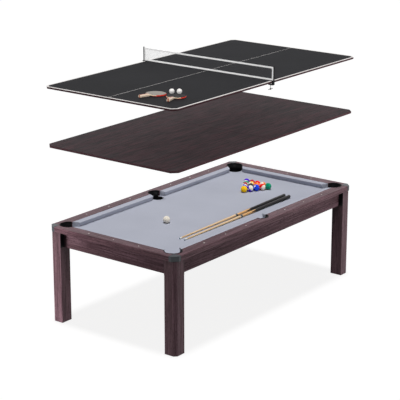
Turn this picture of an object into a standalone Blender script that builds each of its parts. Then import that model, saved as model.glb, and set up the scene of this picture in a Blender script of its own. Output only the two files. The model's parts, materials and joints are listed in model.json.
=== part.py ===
"""Multi game table: a pool table, with the dining top and the table tennis top that cover it
shown lifted off above it, and the balls, cues, net and paddles that it is played with.

Metres, +Z up. The origin is on the floor under the middle of the table. +X runs along the
long side and +Y across it, so the corner nearest the viewer is at (-X, -Y).
"""
from math import atan2, cos, hypot, pi, radians, sin, sqrt

import bmesh
import bpy
from mathutils import Matrix, Vector

for thing in list(bpy.data.objects):
    bpy.data.objects.remove(thing, do_unlink=True)

# ---- Driving dimensions ----------------------------------------------------------------

TABLE_LENGTH = 2.430  # over the rails
TABLE_WIDTH = 1.280
RAIL_TOP = 0.800  # height of the rails' tops above the floor
FIT = 0.0003  # gap left where one piece rests on its neighbour
OVERRUN = 0.020  # how far a cutter runs past the face it opens

# Rails: four lengths of solid stock laid round the bed, with plastic caps at the corners
RAIL_WIDTH = 0.092
RAIL_THICKNESS = 0.042
RAIL_EDGE = 0.003
CAP_ARM = 0.066  # how far a corner cap reaches along each side
CAP_CHAMFER = 0.043
CAP_EDGE = 0.002

# Bed: a board with cloth glued to it, on cross beams between the aprons
BED_DROP = 0.045  # the cloth lies this far below the rails' tops
CLOTH_THICKNESS = 0.0017
BED_THICKNESS = 0.020
BEAM_WIDTH = 0.030
BEAM_HEIGHT = 0.055
BEAM_SHARES = (-0.30, -0.12, 0.12, 0.30)  # of the table's length

# Cushions: rubber strips under the same cloth
CUSHION_DEPTH = 0.046  # from the rail to the nose
NOSE_HEIGHT = 0.036  # above the cloth
NOSE_ROUND = 0.004
CUSHION_FOOT = 0.010
CORNER_FACING = 0.78  # how far an end slants, per unit of the cushion's depth
SIDE_FACING = 0.28

# Legs and aprons
LEG_WIDTH = 0.106
LEG_INSET = 0.012  # from the rails' outer edge
LEG_CHAMFER = 0.023
APRON_INSET = 0.045
APRON_HEIGHT = 0.124
APRON_THICKNESS = 0.018
GLIDE_RADIUS = 0.022
GLIDE_HEIGHT = 0.004
BRACKET_THICKNESS = 0.002
BRACKET_FLANGE = 0.014

# Pockets: one-piece mouldings, with a lip on the rails, a throat that leans in past the
# apron, and a slotted basket under the bed
POCKET_WALL = 0.0035
POCKET_LIP = 0.003  # how far the lip overlaps the rails
LIP_HEIGHT = 0.0026
POCKET_CLEARANCE = 0.001
CORNER_RIM_RADIUS = 0.070
CORNER_RIM_INSET = 0.115  # the rim's centre, in from both edges
CORNER_CUP_RADIUS = 0.057
SIDE_RIM_RADIUS = 0.062
SIDE_RIM_INSET = 0.096
SIDE_CUP_RADIUS = 0.052
BASKET_DEPTH = 0.100  # below the cloth
BASKET_TAPER = 0.007
BASKET_ROUND = 0.006
BASKET_SLOTS = 8
SLOT_WIDTH = 0.011
SLOT_SHARES = (0.30, 0.85)  # of the basket's depth
MOUTH_MARGIN = 0.004

# Sights: small round inlays in the rails
SIGHT_RADIUS = 0.0050
SIGHT_DEPTH = 0.0030
SIGHTS_LONG = 8  # spaces along the playing length
SIGHTS_SHORT = 4

# Balls and cues, whose places are shares of the table's length and width
BALL_RADIUS = 0.0286
BALL_CONTACT = 0.0002  # how far racked balls are pressed together
RACK_ROWS = 5
RACK_APEX_SHARES = (0.240, 0.035)
CUE_BALL_SHARES = (-0.2016, 0.022)
CUE_SHAFT = 0.739
CUE_BUTT = 0.691
CUE_TIP_RADIUS = 0.0060
CUE_JOINT_RADIUS = 0.0105
CUE_END_RADIUS = 0.0150
CUE_PIN_RADIUS = 0.0040
CUE_PIN_LENGTH = 0.018
CUE_TIP_SHARE = -0.3095
CUE_LINE_SHARES = (-0.2414, -0.2805)

# Dining top: two boards side by side on rubber pads
DINING_FACE = 1.4536  # height of its upper face, as shown
DINING_THICKNESS = 0.018
DINING_CHAMFER = 0.046
TOP_EDGE = 0.0025
SEAM = 0.0010
DOWEL_RADIUS = 0.0050
DOWEL_LENGTH = 0.060
DOWEL_CLEARANCE = 0.00025
DOWEL_SHARES = (-0.36, 0.0, 0.36)  # of the table's width
PAD_RADIUS = 0.018
PAD_HEIGHT = 0.015
PAD_INSET = 0.062
PAD_SPACES = (0.5, 3.5)  # in sight spaces from the middle

# Table tennis top: two boards over the dining top
TENNIS_FACE = 1.9156
TENNIS_THICKNESS = 0.016
TENNIS_CHAMFER = 0.036

# Net, on two posts that are clamped to the long edges
NET_TOP = 0.110  # above the tennis top's face
TAPE_WIDTH = 0.013
TAPE_THICKNESS = 0.003
MESH_THICKNESS = 0.0010
MESH_STRAND = 0.0016
MESH_COLUMNS = 54
MESH_ROWS = 4
POST_RADIUS = 0.005
POST_REACH = 0.012  # the post's axis, out from the top's edge
POST_KNOB = 0.0065
CLAMP_WIDTH = 0.026
JAW_THICKNESS = 0.003
JAW_DEPTH = 0.040
BACK_GAP = 0.0005
BACK_THICKNESS = 0.0105
SHELF = 0.0085  # of the upper jaw outside the back, where the post stands
LOWER_JAW_THICKNESS = 0.006
LOWER_JAW_DEPTH = 0.032
SCREW_RADIUS = 0.0039
SCREW_CLEARANCE = 0.0001
SCREW_INSET = 0.018  # the screw's axis, in from the top's edge
SCREW_LENGTH = 0.040
PRESSER_RADIUS = 0.010
PRESSER_THICKNESS = 0.003
PRESSER_TRAVEL = 0.006
BOSS_RADIUS = 0.0060
BOSS_HEIGHT = 0.011
BAR_RADIUS = 0.0025
BAR_LENGTH = 0.056

# Paddles and tennis balls
BLADE_LENGTH = 0.157
BLADE_WIDTH = 0.150
BLADE_THICKNESS = 0.006
RUBBER_THICKNESS = 0.002
HANDLE_LENGTH = 0.100
HANDLE_WIDTH = 0.029
HANDLE_NECK = 0.025
SCALE_THICKNESS = 0.008
RUBBER_EDGE = 0.002
PADDLE_SHARES = ((-0.3807, -0.1812), (-0.3704, -0.3141))
PADDLE_HEADINGS = (radians(-8), radians(18))
TENNIS_BALL_RADIUS = 0.020
TENNIS_BALL_SHARES = ((-0.3407, -0.2375), (-0.3280, -0.2750))

# Facets round each kind of turned or curved piece
POCKET_STEPS = 24
BALL_STEPS = 12
BALL_RINGS = 8
ROUND_STEPS = 16
SMALL_STEPS = 10
ARC_STEPS = 10

# Sizes that follow from those above
HALF_LENGTH = TABLE_LENGTH / 2
HALF_WIDTH = TABLE_WIDTH / 2
RAIL_BOTTOM = RAIL_TOP - RAIL_THICKNESS
CLOTH_TOP = RAIL_TOP - BED_DROP
BED_TOP = CLOTH_TOP - CLOTH_THICKNESS - FIT
BED_BOTTOM = BED_TOP - BED_THICKNESS
APRON_TOP = RAIL_BOTTOM - FIT
APRON_BOTTOM = APRON_TOP - APRON_HEIGHT
APRON_INNER = APRON_INSET + APRON_THICKNESS
LEG_INNER = LEG_INSET + LEG_WIDTH
LEG_BOTTOM = GLIDE_HEIGHT + FIT
NOSE = RAIL_WIDTH + CUSHION_DEPTH
PLAY_LENGTH = TABLE_LENGTH - 2 * NOSE
PLAY_WIDTH = TABLE_WIDTH - 2 * NOSE
SIGHT_SPACE = PLAY_LENGTH / SIGHTS_LONG
SIGHT_SPACE_SHORT = PLAY_WIDTH / SIGHTS_SHORT
KNEE = RAIL_BOTTOM + POCKET_CLEARANCE
CORNER_CUP_INSET = APRON_INNER + POCKET_CLEARANCE + CORNER_CUP_RADIUS
SIDE_CUP_INSET = APRON_INNER + POCKET_CLEARANCE + SIDE_CUP_RADIUS
POST_Y = HALF_WIDTH + POST_REACH
RACK_APEX = (RACK_APEX_SHARES[0] * TABLE_LENGTH, RACK_APEX_SHARES[1] * TABLE_WIDTH)
CUE_BALL = (CUE_BALL_SHARES[0] * TABLE_LENGTH, CUE_BALL_SHARES[1] * TABLE_WIDTH)
CORNERS = {"near_left": (-1, -1), "near_right": (1, -1), "far_right": (1, 1), "far_left": (-1, 1)}

# ---- Materials ---------------------------------------------------------------------------


def material(name, colour, roughness, metallic=0.0):
    """A Principled material in one colour."""
    made = bpy.data.materials.new(name)
    made.use_nodes = True
    shader = made.node_tree.nodes["Principled BSDF"]
    shader.inputs["Base Color"].default_value = (*colour, 1)
    shader.inputs["Roughness"].default_value = roughness
    shader.inputs["Metallic"].default_value = metallic
    made.diffuse_color = (*colour, 1)
    return made


FRAME_WOOD = material("frame_wood", (0.16, 0.10, 0.11), 0.45)
BOARD_WOOD = material("board_wood", (0.42, 0.33, 0.24), 0.70)
DINING_WOOD = material("dining_wood", (0.07, 0.055, 0.058), 0.40)
TENNIS_BLACK = material("tennis_black", (0.05, 0.05, 0.05), 0.55)
CLOTH = material("cloth", (0.42, 0.44, 0.50), 0.95)
CUSHION_CLOTH = material("cushion_cloth", (0.48, 0.50, 0.56), 0.95)
BLACK_PLASTIC = material("black_plastic", (0.02, 0.02, 0.02), 0.50)
CAP_PLASTIC = material("cap_plastic", (0.06, 0.065, 0.07), 0.40)
BLACK_STEEL = material("black_steel", (0.03, 0.03, 0.03), 0.45, 0.6)
BRIGHT_STEEL = material("bright_steel", (0.55, 0.55, 0.56), 0.30, 1.0)
BALL_RESIN = material("ball_resin", (0.75, 0.25, 0.10), 0.12)
CUE_RESIN = material("cue_ball_resin", (0.88, 0.86, 0.80), 0.12)
MAPLE = material("maple", (0.72, 0.52, 0.32), 0.35)
BUTT_LACQUER = material("butt_lacquer", (0.05, 0.03, 0.03), 0.25)
PAD_RUBBER = material("pad_rubber", (0.04, 0.04, 0.04), 0.85)
NET_BLACK = material("net_black", (0.03, 0.03, 0.03), 0.90)
TAPE_WHITE = material("tape_white", (0.85, 0.85, 0.83), 0.90)
PADDLE_PLY = material("paddle_ply", (0.78, 0.64, 0.44), 0.55)
PADDLE_RUBBER = material("paddle_rubber", (0.05, 0.05, 0.06), 0.45)
BALL_WHITE = material("ball_white", (0.86, 0.84, 0.76), 0.40)

# ---- Building blocks ------------------------------------------------------------------------

PARTS = bpy.data.collections.new("multi_game_table")
CUTTERS = bpy.data.collections.new("cutters")
for group in (PARTS, CUTTERS):
    bpy.context.scene.collection.children.link(group)


def finished(mesh):
    """The mesh with coincident points welded and its faces turned outwards."""
    work = bmesh.new()
    work.from_mesh(mesh)
    bmesh.ops.remove_doubles(work, verts=work.verts, dist=FIT / 100)
    bmesh.ops.recalc_face_normals(work, faces=work.faces)
    work.to_mesh(mesh)
    work.free()
    return mesh


def plate(outline, thickness, holes=()):
    """A flat plate between z = 0 and z = thickness, from its outline in XY."""
    curve = bpy.data.curves.new("outline", "CURVE")
    curve.dimensions = "2D"
    curve.fill_mode = "BOTH"
    curve.extrude = thickness / 2
    for loop in (outline, *holes):
        spline = curve.splines.new("POLY")
        spline.points.add(len(loop) - 1)
        spline.use_cyclic_u = True
        for point, (x, y) in zip(spline.points, loop):
            point.co = (x, y, 0, 1)
    guide = bpy.data.objects.new("outline", curve)
    bpy.context.scene.collection.objects.link(guide)
    graph = bpy.context.evaluated_depsgraph_get()
    mesh = bpy.data.meshes.new_from_object(guide.evaluated_get(graph))
    bpy.data.objects.remove(guide)
    mesh.transform(Matrix.Translation((0, 0, thickness / 2)))
    return finished(mesh)


def block(low, high):
    """A box between two opposite corners."""
    work = bmesh.new()
    bmesh.ops.create_cube(work, size=1)
    middle = (Vector(low) + Vector(high)) / 2
    size = Vector(high) - Vector(low)
    bmesh.ops.transform(work, matrix=Matrix.LocRotScale(middle, None, size), verts=work.verts)
    mesh = bpy.data.meshes.new("block")
    work.to_mesh(mesh)
    work.free()
    return mesh


def cylinder(radius, low, high, x=0, y=0, steps=ROUND_STEPS):
    """An upright cylinder, turned so that a flat faces each axis."""
    work = bmesh.new()
    turn = Matrix.Rotation(pi / steps, 4, "Z")
    place = Matrix.Translation((x, y, (low + high) / 2)) @ turn
    bmesh.ops.create_cone(work, cap_ends=True, segments=steps, radius1=radius, radius2=radius,
                          depth=high - low, matrix=place)
    mesh = bpy.data.meshes.new("cylinder")
    work.to_mesh(mesh)
    work.free()
    return mesh


def sphere(radius, x, y, z):
    """A ball, as a UV sphere."""
    work = bmesh.new()
    bmesh.ops.create_uvsphere(work, u_segments=BALL_STEPS, v_segments=BALL_RINGS, radius=radius,
                              matrix=Matrix.Translation((x, y, z)))
    mesh = bpy.data.meshes.new("sphere")
    work.to_mesh(mesh)
    work.free()
    return mesh


def turned(profile, steps):
    """A turned solid: (radius, height) points from the axis up the inside and down the outside."""
    mesh = bpy.data.meshes.new("profile")
    edges = [(i, i + 1) for i in range(len(profile) - 1)]
    mesh.from_pydata([(radius, 0, height) for radius, height in profile], edges, [])
    guide = bpy.data.objects.new("profile", mesh)
    bpy.context.scene.collection.objects.link(guide)
    screw = guide.modifiers.new("turn", "SCREW")
    screw.steps = steps
    screw.render_steps = steps
    screw.use_merge_vertices = True
    screw.merge_threshold = 0.00001
    graph = bpy.context.evaluated_depsgraph_get()
    solid = bpy.data.meshes.new_from_object(guide.evaluated_get(graph))
    bpy.data.objects.remove(guide)
    return finished(solid)


def together(meshes):
    """Several separate solids as one mesh."""
    work = bmesh.new()
    for mesh in meshes:
        work.from_mesh(mesh)
    joined = bpy.data.meshes.new("set")
    work.to_mesh(joined)
    work.free()
    return joined


def moved(mesh, *matrices):
    """The mesh after the given transforms, the last one first."""
    for matrix in reversed(matrices):
        mesh.transform(matrix)
    return mesh


def world_place(thing):
    """Where an unrotated carrier stands, through its parents."""
    place = Vector()
    while thing:
        place += thing.location
        thing = thing.parent
    return place


def carrier(name, place, on=None):
    """An empty on a joint's axis, which carries the pieces that move there."""
    empty = bpy.data.objects.new(name, None)
    PARTS.objects.link(empty)
    empty.parent = on
    empty.location = Vector(place) - world_place(on)
    return empty


def put(name, mesh, finish, on=None, smooth=None):
    """A named piece; its mesh is in table coordinates."""
    mesh.name = name
    mesh.materials.clear()
    mesh.materials.append(finish)
    piece = bpy.data.objects.new(name, mesh)
    PARTS.objects.link(piece)
    if smooth:
        mesh.shade_smooth()
        mesh.set_sharp_from_angle(angle=radians(smooth))
    if on:
        origin = world_place(on)
        mesh.transform(Matrix.Translation(-origin))
        piece.parent = on
    return piece


def rounded(piece, width, segments=1, angle=50):
    """Bevels the edges sharper than the given angle."""
    bevel = piece.modifiers.new("edges", "BEVEL")
    bevel.width = width
    bevel.segments = segments
    bevel.limit_method = "ANGLE"
    bevel.angle_limit = radians(angle)


def cut(piece, mesh, operation="DIFFERENCE"):
    """Cuts a mesh out of the piece, or joins it to the piece."""
    tool = bpy.data.objects.new(piece.name + "_cutter", mesh)
    CUTTERS.objects.link(tool)
    tool.hide_render = True
    tool.display_type = "WIRE"
    if piece.parent:
        tool.location = -world_place(piece.parent)
        tool.parent = piece.parent
        tool.location = Vector()
        mesh.transform(Matrix.Translation(-world_place(piece.parent)))
    boolean = piece.modifiers.new("cut", "BOOLEAN")
    boolean.operation = operation
    boolean.object = tool


def corner_point(signs, along, across):
    """A plan point given by its distances in from the two edges that meet at a corner."""
    return signs[0] * (HALF_LENGTH - along), signs[1] * (HALF_WIDTH - across)


# ---- Legs and aprons --------------------------------------------------------------------------


def bracket_outline(signs, swap):
    """The section of a steel angle, in the recess between a leg's side and the apron's face."""
    start = LEG_INNER - FIT
    step = LEG_INNER + BRACKET_THICKNESS
    stop = APRON_INSET - FIT
    flange = LEG_INNER + BRACKET_FLANGE
    section = ((start, LEG_INSET), (step, LEG_INSET), (step, stop - BRACKET_THICKNESS),
               (flange, stop - BRACKET_THICKNESS), (flange, stop), (start, stop))
    return [corner_point(signs, *(place[::-1] if swap else place)) for place in section]


for corner, signs in CORNERS.items():
    far = LEG_INNER
    near = LEG_INSET + LEG_CHAMFER
    outline = [corner_point(signs, *place) for place in (
        (near, LEG_INSET), (far, LEG_INSET), (far, far), (LEG_INSET, far), (LEG_INSET, near))]
    shape = moved(plate(outline, RAIL_BOTTOM - FIT - LEG_BOTTOM),
                  Matrix.Translation((0, 0, LEG_BOTTOM)))
    leg = put("leg_" + corner, shape, FRAME_WOOD)
    middle = corner_point(signs, LEG_INSET + LEG_WIDTH / 2, LEG_INSET + LEG_WIDTH / 2)
    cut(leg, cylinder(GLIDE_RADIUS, 0, LEG_BOTTOM + OVERRUN, *middle), "UNION")
    cut(leg, together([moved(plate(bracket_outline(signs, swap), APRON_HEIGHT),
                             Matrix.Translation((0, 0, APRON_BOTTOM)))
                       for swap in (False, True)]), "UNION")
    centre = corner_point(signs, CORNER_CUP_INSET, CORNER_CUP_INSET)
    cut(leg, cylinder(CORNER_CUP_RADIUS + POCKET_CLEARANCE, APRON_BOTTOM, RAIL_BOTTOM + OVERRUN,
                      *centre, POCKET_STEPS))

apron_half_length = HALF_LENGTH - LEG_INNER - FIT
apron_half_width = HALF_WIDTH - LEG_INNER - FIT
for side, sign in (("near", -1), ("far", 1)):
    outer = sign * (HALF_WIDTH - APRON_INSET)
    inner = sign * (HALF_WIDTH - APRON_INNER)
    put("apron_" + side, block((-apron_half_length, min(outer, inner), APRON_BOTTOM),
                               (apron_half_length, max(outer, inner), APRON_TOP)), FRAME_WOOD)
for side, sign in (("left", -1), ("right", 1)):
    outer = sign * (HALF_LENGTH - APRON_INSET)
    inner = sign * (HALF_LENGTH - APRON_INNER)
    put("apron_" + side, block((min(outer, inner), -apron_half_width, APRON_BOTTOM),
                               (max(outer, inner), apron_half_width, APRON_TOP)), FRAME_WOOD)

# ---- Bed ----------------------------------------------------------------------------------------

beam_half = HALF_WIDTH - APRON_INNER - FIT
for number, share in enumerate(BEAM_SHARES, 1):
    x = share * TABLE_LENGTH
    put(f"cross_beam_{number}",
        block((x - BEAM_WIDTH / 2, -beam_half, BED_BOTTOM - FIT - BEAM_HEIGHT),
              (x + BEAM_WIDTH / 2, beam_half, BED_BOTTOM - FIT)), BOARD_WOOD)


def bed_layer(name, low, high, finish):
    """A sheet between the aprons, notched round the legs and holed for the pockets."""
    half_length = HALF_LENGTH - APRON_INNER - FIT
    half_width = HALF_WIDTH - APRON_INNER - FIT
    layer = put(name, block((-half_length, -half_width, low), (half_length, half_width, high)),
                finish)
    notch = LEG_INNER + FIT
    notches = []
    holes = []
    for signs in CORNERS.values():
        inner = corner_point(signs, notch, notch)
        outer = corner_point(signs, -OVERRUN, -OVERRUN)
        notches.append(block((min(inner[0], outer[0]), min(inner[1], outer[1]), low - OVERRUN),
                             (max(inner[0], outer[0]), max(inner[1], outer[1]), high + OVERRUN)))
        centre = corner_point(signs, CORNER_CUP_INSET, CORNER_CUP_INSET)
        holes.append(cylinder(CORNER_CUP_RADIUS + POCKET_CLEARANCE, low - OVERRUN,
                              high + OVERRUN, *centre, POCKET_STEPS))
    for sign in (-1, 1):
        holes.append(cylinder(SIDE_CUP_RADIUS + POCKET_CLEARANCE, low - OVERRUN, high + OVERRUN,
                              0, sign * (HALF_WIDTH - SIDE_CUP_INSET), POCKET_STEPS))
    cut(layer, together(notches))
    cut(layer, together(holes))


bed_layer("bed_board", BED_BOTTOM, BED_TOP, BOARD_WOOD)
bed_layer("bed_cloth", BED_TOP + FIT, CLOTH_TOP, CLOTH)

# ---- Rails, caps, sights and cushions --------------------------------------------------------------


def rim_cutter(x, y, radius):
    """The hole that a pocket's rim takes out of the rails round it."""
    return cylinder(radius + POCKET_CLEARANCE, RAIL_BOTTOM - OVERRUN, RAIL_TOP + OVERRUN, x, y,
                    POCKET_STEPS)


rail_end = CAP_ARM + FIT
for side, sign in (("near", -1), ("far", 1)):
    y = sorted((sign * HALF_WIDTH, sign * (HALF_WIDTH - RAIL_WIDTH)))
    rail = put("rail_" + side, block((rail_end - HALF_LENGTH, y[0], RAIL_BOTTOM),
                                     (HALF_LENGTH - rail_end, y[1], RAIL_TOP)), FRAME_WOOD)
    rounded(rail, RAIL_EDGE, 2)
    holes = [rim_cutter(*corner_point((end, sign), CORNER_RIM_INSET, CORNER_RIM_INSET),
                        CORNER_RIM_RADIUS) for end in (-1, 1)]
    holes.append(rim_cutter(0, sign * (HALF_WIDTH - SIDE_RIM_INSET), SIDE_RIM_RADIUS))
    cut(rail, together(holes))
    places = [(count * SIGHT_SPACE, sign * (HALF_WIDTH - RAIL_WIDTH / 2))
              for count in range(1 - SIGHTS_LONG // 2, SIGHTS_LONG // 2) if count]
    cut(rail, together([cylinder(SIGHT_RADIUS + FIT, RAIL_TOP - SIGHT_DEPTH - FIT,
                                 RAIL_TOP + OVERRUN, *place, SMALL_STEPS) for place in places]))
for side, sign in (("left", -1), ("right", 1)):
    x = sorted((sign * HALF_LENGTH, sign * (HALF_LENGTH - RAIL_WIDTH)))
    rail = put("rail_" + side, block((x[0], rail_end - HALF_WIDTH, RAIL_BOTTOM),
                                     (x[1], HALF_WIDTH - rail_end, RAIL_TOP)), FRAME_WOOD)
    rounded(rail, RAIL_EDGE, 2)
    cut(rail, together([rim_cutter(*corner_point((sign, end), CORNER_RIM_INSET, CORNER_RIM_INSET),
                                   CORNER_RIM_RADIUS) for end in (-1, 1)]))
    places = [(sign * (HALF_LENGTH - RAIL_WIDTH / 2), count * SIGHT_SPACE_SHORT)
              for count in range(1 - SIGHTS_SHORT // 2, SIGHTS_SHORT // 2)]
    cut(rail, together([cylinder(SIGHT_RADIUS + FIT, RAIL_TOP - SIGHT_DEPTH - FIT,
                                 RAIL_TOP + OVERRUN, *place, SMALL_STEPS) for place in places]))


def cap_outline(signs):
    """The corner between two rails: clipped outside, hollowed inside by the pocket's rim."""
    radius = CORNER_RIM_RADIUS + POCKET_CLEARANCE
    inset = CORNER_RIM_INSET
    reach = sqrt(radius ** 2 - (inset - CAP_ARM) ** 2)
    first = atan2(-reach, CAP_ARM - inset)
    last = atan2(CAP_ARM - inset, -reach)
    arc = [first + (last - first) * step / ARC_STEPS for step in range(ARC_STEPS + 1)]
    places = [(0, CAP_CHAMFER), (CAP_CHAMFER, 0), (CAP_ARM, 0)]
    places += [(inset + radius * cos(angle), inset + radius * sin(angle)) for angle in arc]
    places += [(0, CAP_ARM)]
    return [corner_point(signs, *place) for place in places]


for corner, signs in CORNERS.items():
    cap = put("cap_" + corner, moved(plate(cap_outline(signs), RAIL_THICKNESS),
                                     Matrix.Translation((0, 0, RAIL_BOTTOM))), CAP_PLASTIC)
    rounded(cap, CAP_EDGE, 1, 30)


def cushion(name, face, along_x, sign, ends, slants):
    """A rubber strip on a rail's inner face, with its two ends slanted towards the nose.

    ends are where it starts and stops along the rail, and slants are how far each end draws
    in per unit of depth.
    """
    low = CLOTH_TOP + FIT
    nose = CLOTH_TOP + NOSE_HEIGHT
    tip = CUSHION_DEPTH
    section = [(FIT, low), (FIT, RAIL_TOP - FIT), (tip - NOSE_ROUND, nose + NOSE_ROUND / 2),
               (tip, nose), (tip, nose - NOSE_ROUND / 2), (tip - NOSE_ROUND, nose - NOSE_ROUND),
               (CUSHION_FOOT, low)]
    mesh = plate(section, 1)
    for vertex in mesh.vertices:
        depth, height, end = vertex.co
        along = ends[1] - slants[1] * depth if end > 0.5 else ends[0] + slants[0] * depth
        across = sign * (face - depth)
        vertex.co = (along, across, height) if along_x else (across, along, height)
    put(name, finished(mesh), CUSHION_CLOTH)


def throat(radius, inset):
    """Where the outside of a rim's lip crosses the rails' inner face, from the rim's centre."""
    return sqrt((radius + POCKET_LIP) ** 2 - (RAIL_WIDTH - inset) ** 2) + POCKET_CLEARANCE


corner_start = CORNER_RIM_INSET + throat(CORNER_RIM_RADIUS, CORNER_RIM_INSET)
side_start = throat(SIDE_RIM_RADIUS, SIDE_RIM_INSET)
rail_face = HALF_WIDTH - RAIL_WIDTH
for side, sign in (("near", -1), ("far", 1)):
    cushion("cushion_" + side + "_left", rail_face, True, sign,
            (corner_start - HALF_LENGTH, -side_start), (CORNER_FACING, SIDE_FACING))
    cushion("cushion_" + side + "_right", rail_face, True, sign,
            (side_start, HALF_LENGTH - corner_start), (SIDE_FACING, CORNER_FACING))
for side, sign in (("left", -1), ("right", 1)):
    cushion("cushion_" + side, HALF_LENGTH - RAIL_WIDTH, False, sign,
            (corner_start - HALF_WIDTH, HALF_WIDTH - corner_start),
            (CORNER_FACING, CORNER_FACING))

# ---- Pockets ------------------------------------------------------------------------------------------


def pocket(name, x, y, heading, rim_radius, cup_radius, lean, mouth):
    """A moulded pocket, whose rim is centred on (x, y) and whose outer side faces heading.

    The cup's centre leans in from the rim's by lean, and above the cloth the wall is cut away
    where it would lie more than mouth in from the rim's centre.
    """
    inner = rim_radius - POCKET_WALL
    bottom = CLOTH_TOP - BASKET_DEPTH
    top = RAIL_TOP + FIT + LIP_HEIGHT
    cup = cup_radius - POCKET_WALL
    foot = cup_radius - BASKET_TAPER
    profile = [(0, bottom + POCKET_WALL), (foot - POCKET_WALL - BASKET_ROUND, bottom + POCKET_WALL),
               (foot - POCKET_WALL, bottom + POCKET_WALL + BASKET_ROUND), (cup, KNEE),
               (inner, top - POCKET_WALL / 2), (inner + POCKET_WALL / 2, top),
               (rim_radius + POCKET_LIP / 2, top), (rim_radius + POCKET_LIP, RAIL_TOP + FIT),
               (rim_radius, RAIL_TOP + FIT), (cup_radius, KNEE),
               (foot, bottom + BASKET_ROUND), (foot - BASKET_ROUND, bottom), (0, bottom)]
    mesh = turned(profile, POCKET_STEPS)
    for vertex in mesh.vertices:
        share = min(max((RAIL_TOP - vertex.co.z) / (RAIL_TOP - KNEE), 0), 1)
        vertex.co.x -= lean * share
    place = Matrix.Translation((x, y, 0)) @ Matrix.Rotation(heading, 4, "Z")
    piece = put(name, moved(mesh, place), BLACK_PLASTIC, smooth=40)
    reach = rim_radius + lean + OVERRUN
    cut(piece, moved(block((-reach, -reach, CLOTH_TOP - POCKET_CLEARANCE),
                           (-mouth, reach, top + OVERRUN)), place))
    slots = []
    for count in range(BASKET_SLOTS):
        turn = Matrix.Rotation(2 * pi * (count + 1 / 2) / BASKET_SLOTS, 4, "Z")
        slot = block((foot / 2, -SLOT_WIDTH / 2, CLOTH_TOP - SLOT_SHARES[1] * BASKET_DEPTH),
                     (reach, SLOT_WIDTH / 2, CLOTH_TOP - SLOT_SHARES[0] * BASKET_DEPTH))
        slots.append(moved(slot, place, Matrix.Translation((-lean, 0, 0)), turn))
    cut(piece, together(slots))


rim_end = RAIL_WIDTH - MOUTH_MARGIN
corner_reach = sqrt(CORNER_RIM_RADIUS ** 2 - (CORNER_RIM_INSET - rim_end) ** 2)
corner_mouth = (corner_reach + rim_end - CORNER_RIM_INSET) / sqrt(2)
for corner, signs in CORNERS.items():
    pocket("pocket_" + corner, *corner_point(signs, CORNER_RIM_INSET, CORNER_RIM_INSET),
           atan2(signs[1], signs[0]), CORNER_RIM_RADIUS, CORNER_CUP_RADIUS,
           (CORNER_CUP_INSET - CORNER_RIM_INSET) * sqrt(2), corner_mouth)
for side, sign in (("near", -1), ("far", 1)):
    pocket("pocket_" + side, 0, sign * (HALF_WIDTH - SIDE_RIM_INSET), sign * pi / 2,
           SIDE_RIM_RADIUS, SIDE_CUP_RADIUS, SIDE_CUP_INSET - SIDE_RIM_INSET,
           rim_end - SIDE_RIM_INSET)

# ---- Balls and cues -------------------------------------------------------------------------------------

ball_height = CLOTH_TOP + FIT + BALL_RADIUS
pitch = 2 * (BALL_RADIUS - BALL_CONTACT)
groups = [[], [], []]
for row in range(RACK_ROWS):
    for place in range(row + 1):
        ball = sphere(BALL_RADIUS, RACK_APEX[0] + row * pitch * cos(pi / 6),
                      RACK_APEX[1] + (place - row / 2) * pitch, ball_height)
        groups[(row + place) % len(groups)].append(ball)
rack_carrier = carrier("rack_path", (*RACK_APEX, ball_height))
rack = put("racked_balls", together(groups[0]), BALL_RESIN, rack_carrier, 80)
for group in groups[1:]:
    cut(rack, together(group), "UNION")
cue_ball_carrier = carrier("cue_ball_path", (*CUE_BALL, ball_height))
put("cue_ball", sphere(BALL_RADIUS, *CUE_BALL, ball_height), CUE_RESIN, cue_ball_carrier, 80)

cue_length = CUE_SHAFT + CUE_BUTT
cue_tilt = atan2(CUE_END_RADIUS - CUE_TIP_RADIUS, cue_length)
ferrule = 4 * CUE_TIP_RADIUS
shaft_profile = [
    (0, 0), (CUE_TIP_RADIUS / 2, 0), (CUE_TIP_RADIUS, CUE_TIP_RADIUS / 3),
    (CUE_TIP_RADIUS, ferrule), (CUE_TIP_RADIUS + (CUE_JOINT_RADIUS - CUE_TIP_RADIUS) / 3,
                                CUE_SHAFT / 2),
    (CUE_JOINT_RADIUS, CUE_SHAFT - FIT), (CUE_PIN_RADIUS, CUE_SHAFT - FIT),
    (CUE_PIN_RADIUS, CUE_SHAFT - CUE_PIN_LENGTH), (0, CUE_SHAFT - CUE_PIN_LENGTH)]
pin = CUE_PIN_RADIUS - FIT
butt_profile = [
    (0, CUE_SHAFT - CUE_PIN_LENGTH + FIT), (pin, CUE_SHAFT - CUE_PIN_LENGTH + FIT),
    (pin, CUE_SHAFT), (CUE_JOINT_RADIUS, CUE_SHAFT),
    (CUE_JOINT_RADIUS + (CUE_END_RADIUS - CUE_JOINT_RADIUS) / 2, CUE_SHAFT + CUE_BUTT / 2),
    (CUE_END_RADIUS, cue_length - CUE_END_RADIUS),
    (CUE_END_RADIUS, cue_length - CUE_END_RADIUS / 2),
    (CUE_END_RADIUS * 2 / 3, cue_length), (0, cue_length)]
cue_tip = CUE_TIP_SHARE * TABLE_LENGTH
for number, share in enumerate(CUE_LINE_SHARES, 1):
    line = share * TABLE_WIDTH
    height = CLOTH_TOP + FIT + CUE_TIP_RADIUS / cos(cue_tilt)
    lay = (Matrix.Translation((cue_tip, line, height)),
           Matrix.Rotation(pi / 2 - cue_tilt, 4, "Y"))
    path = carrier(f"cue_{number}_path", (cue_tip, line, height))
    for half, profile, finish in (("shaft", shaft_profile, MAPLE),
                                  ("butt", butt_profile, BUTT_LACQUER)):
        put(f"cue_{number}_{half}", moved(turned(profile, SMALL_STEPS), *lay), finish, path, 50)

# ---- The two tops ---------------------------------------------------------------------------------------


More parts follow.
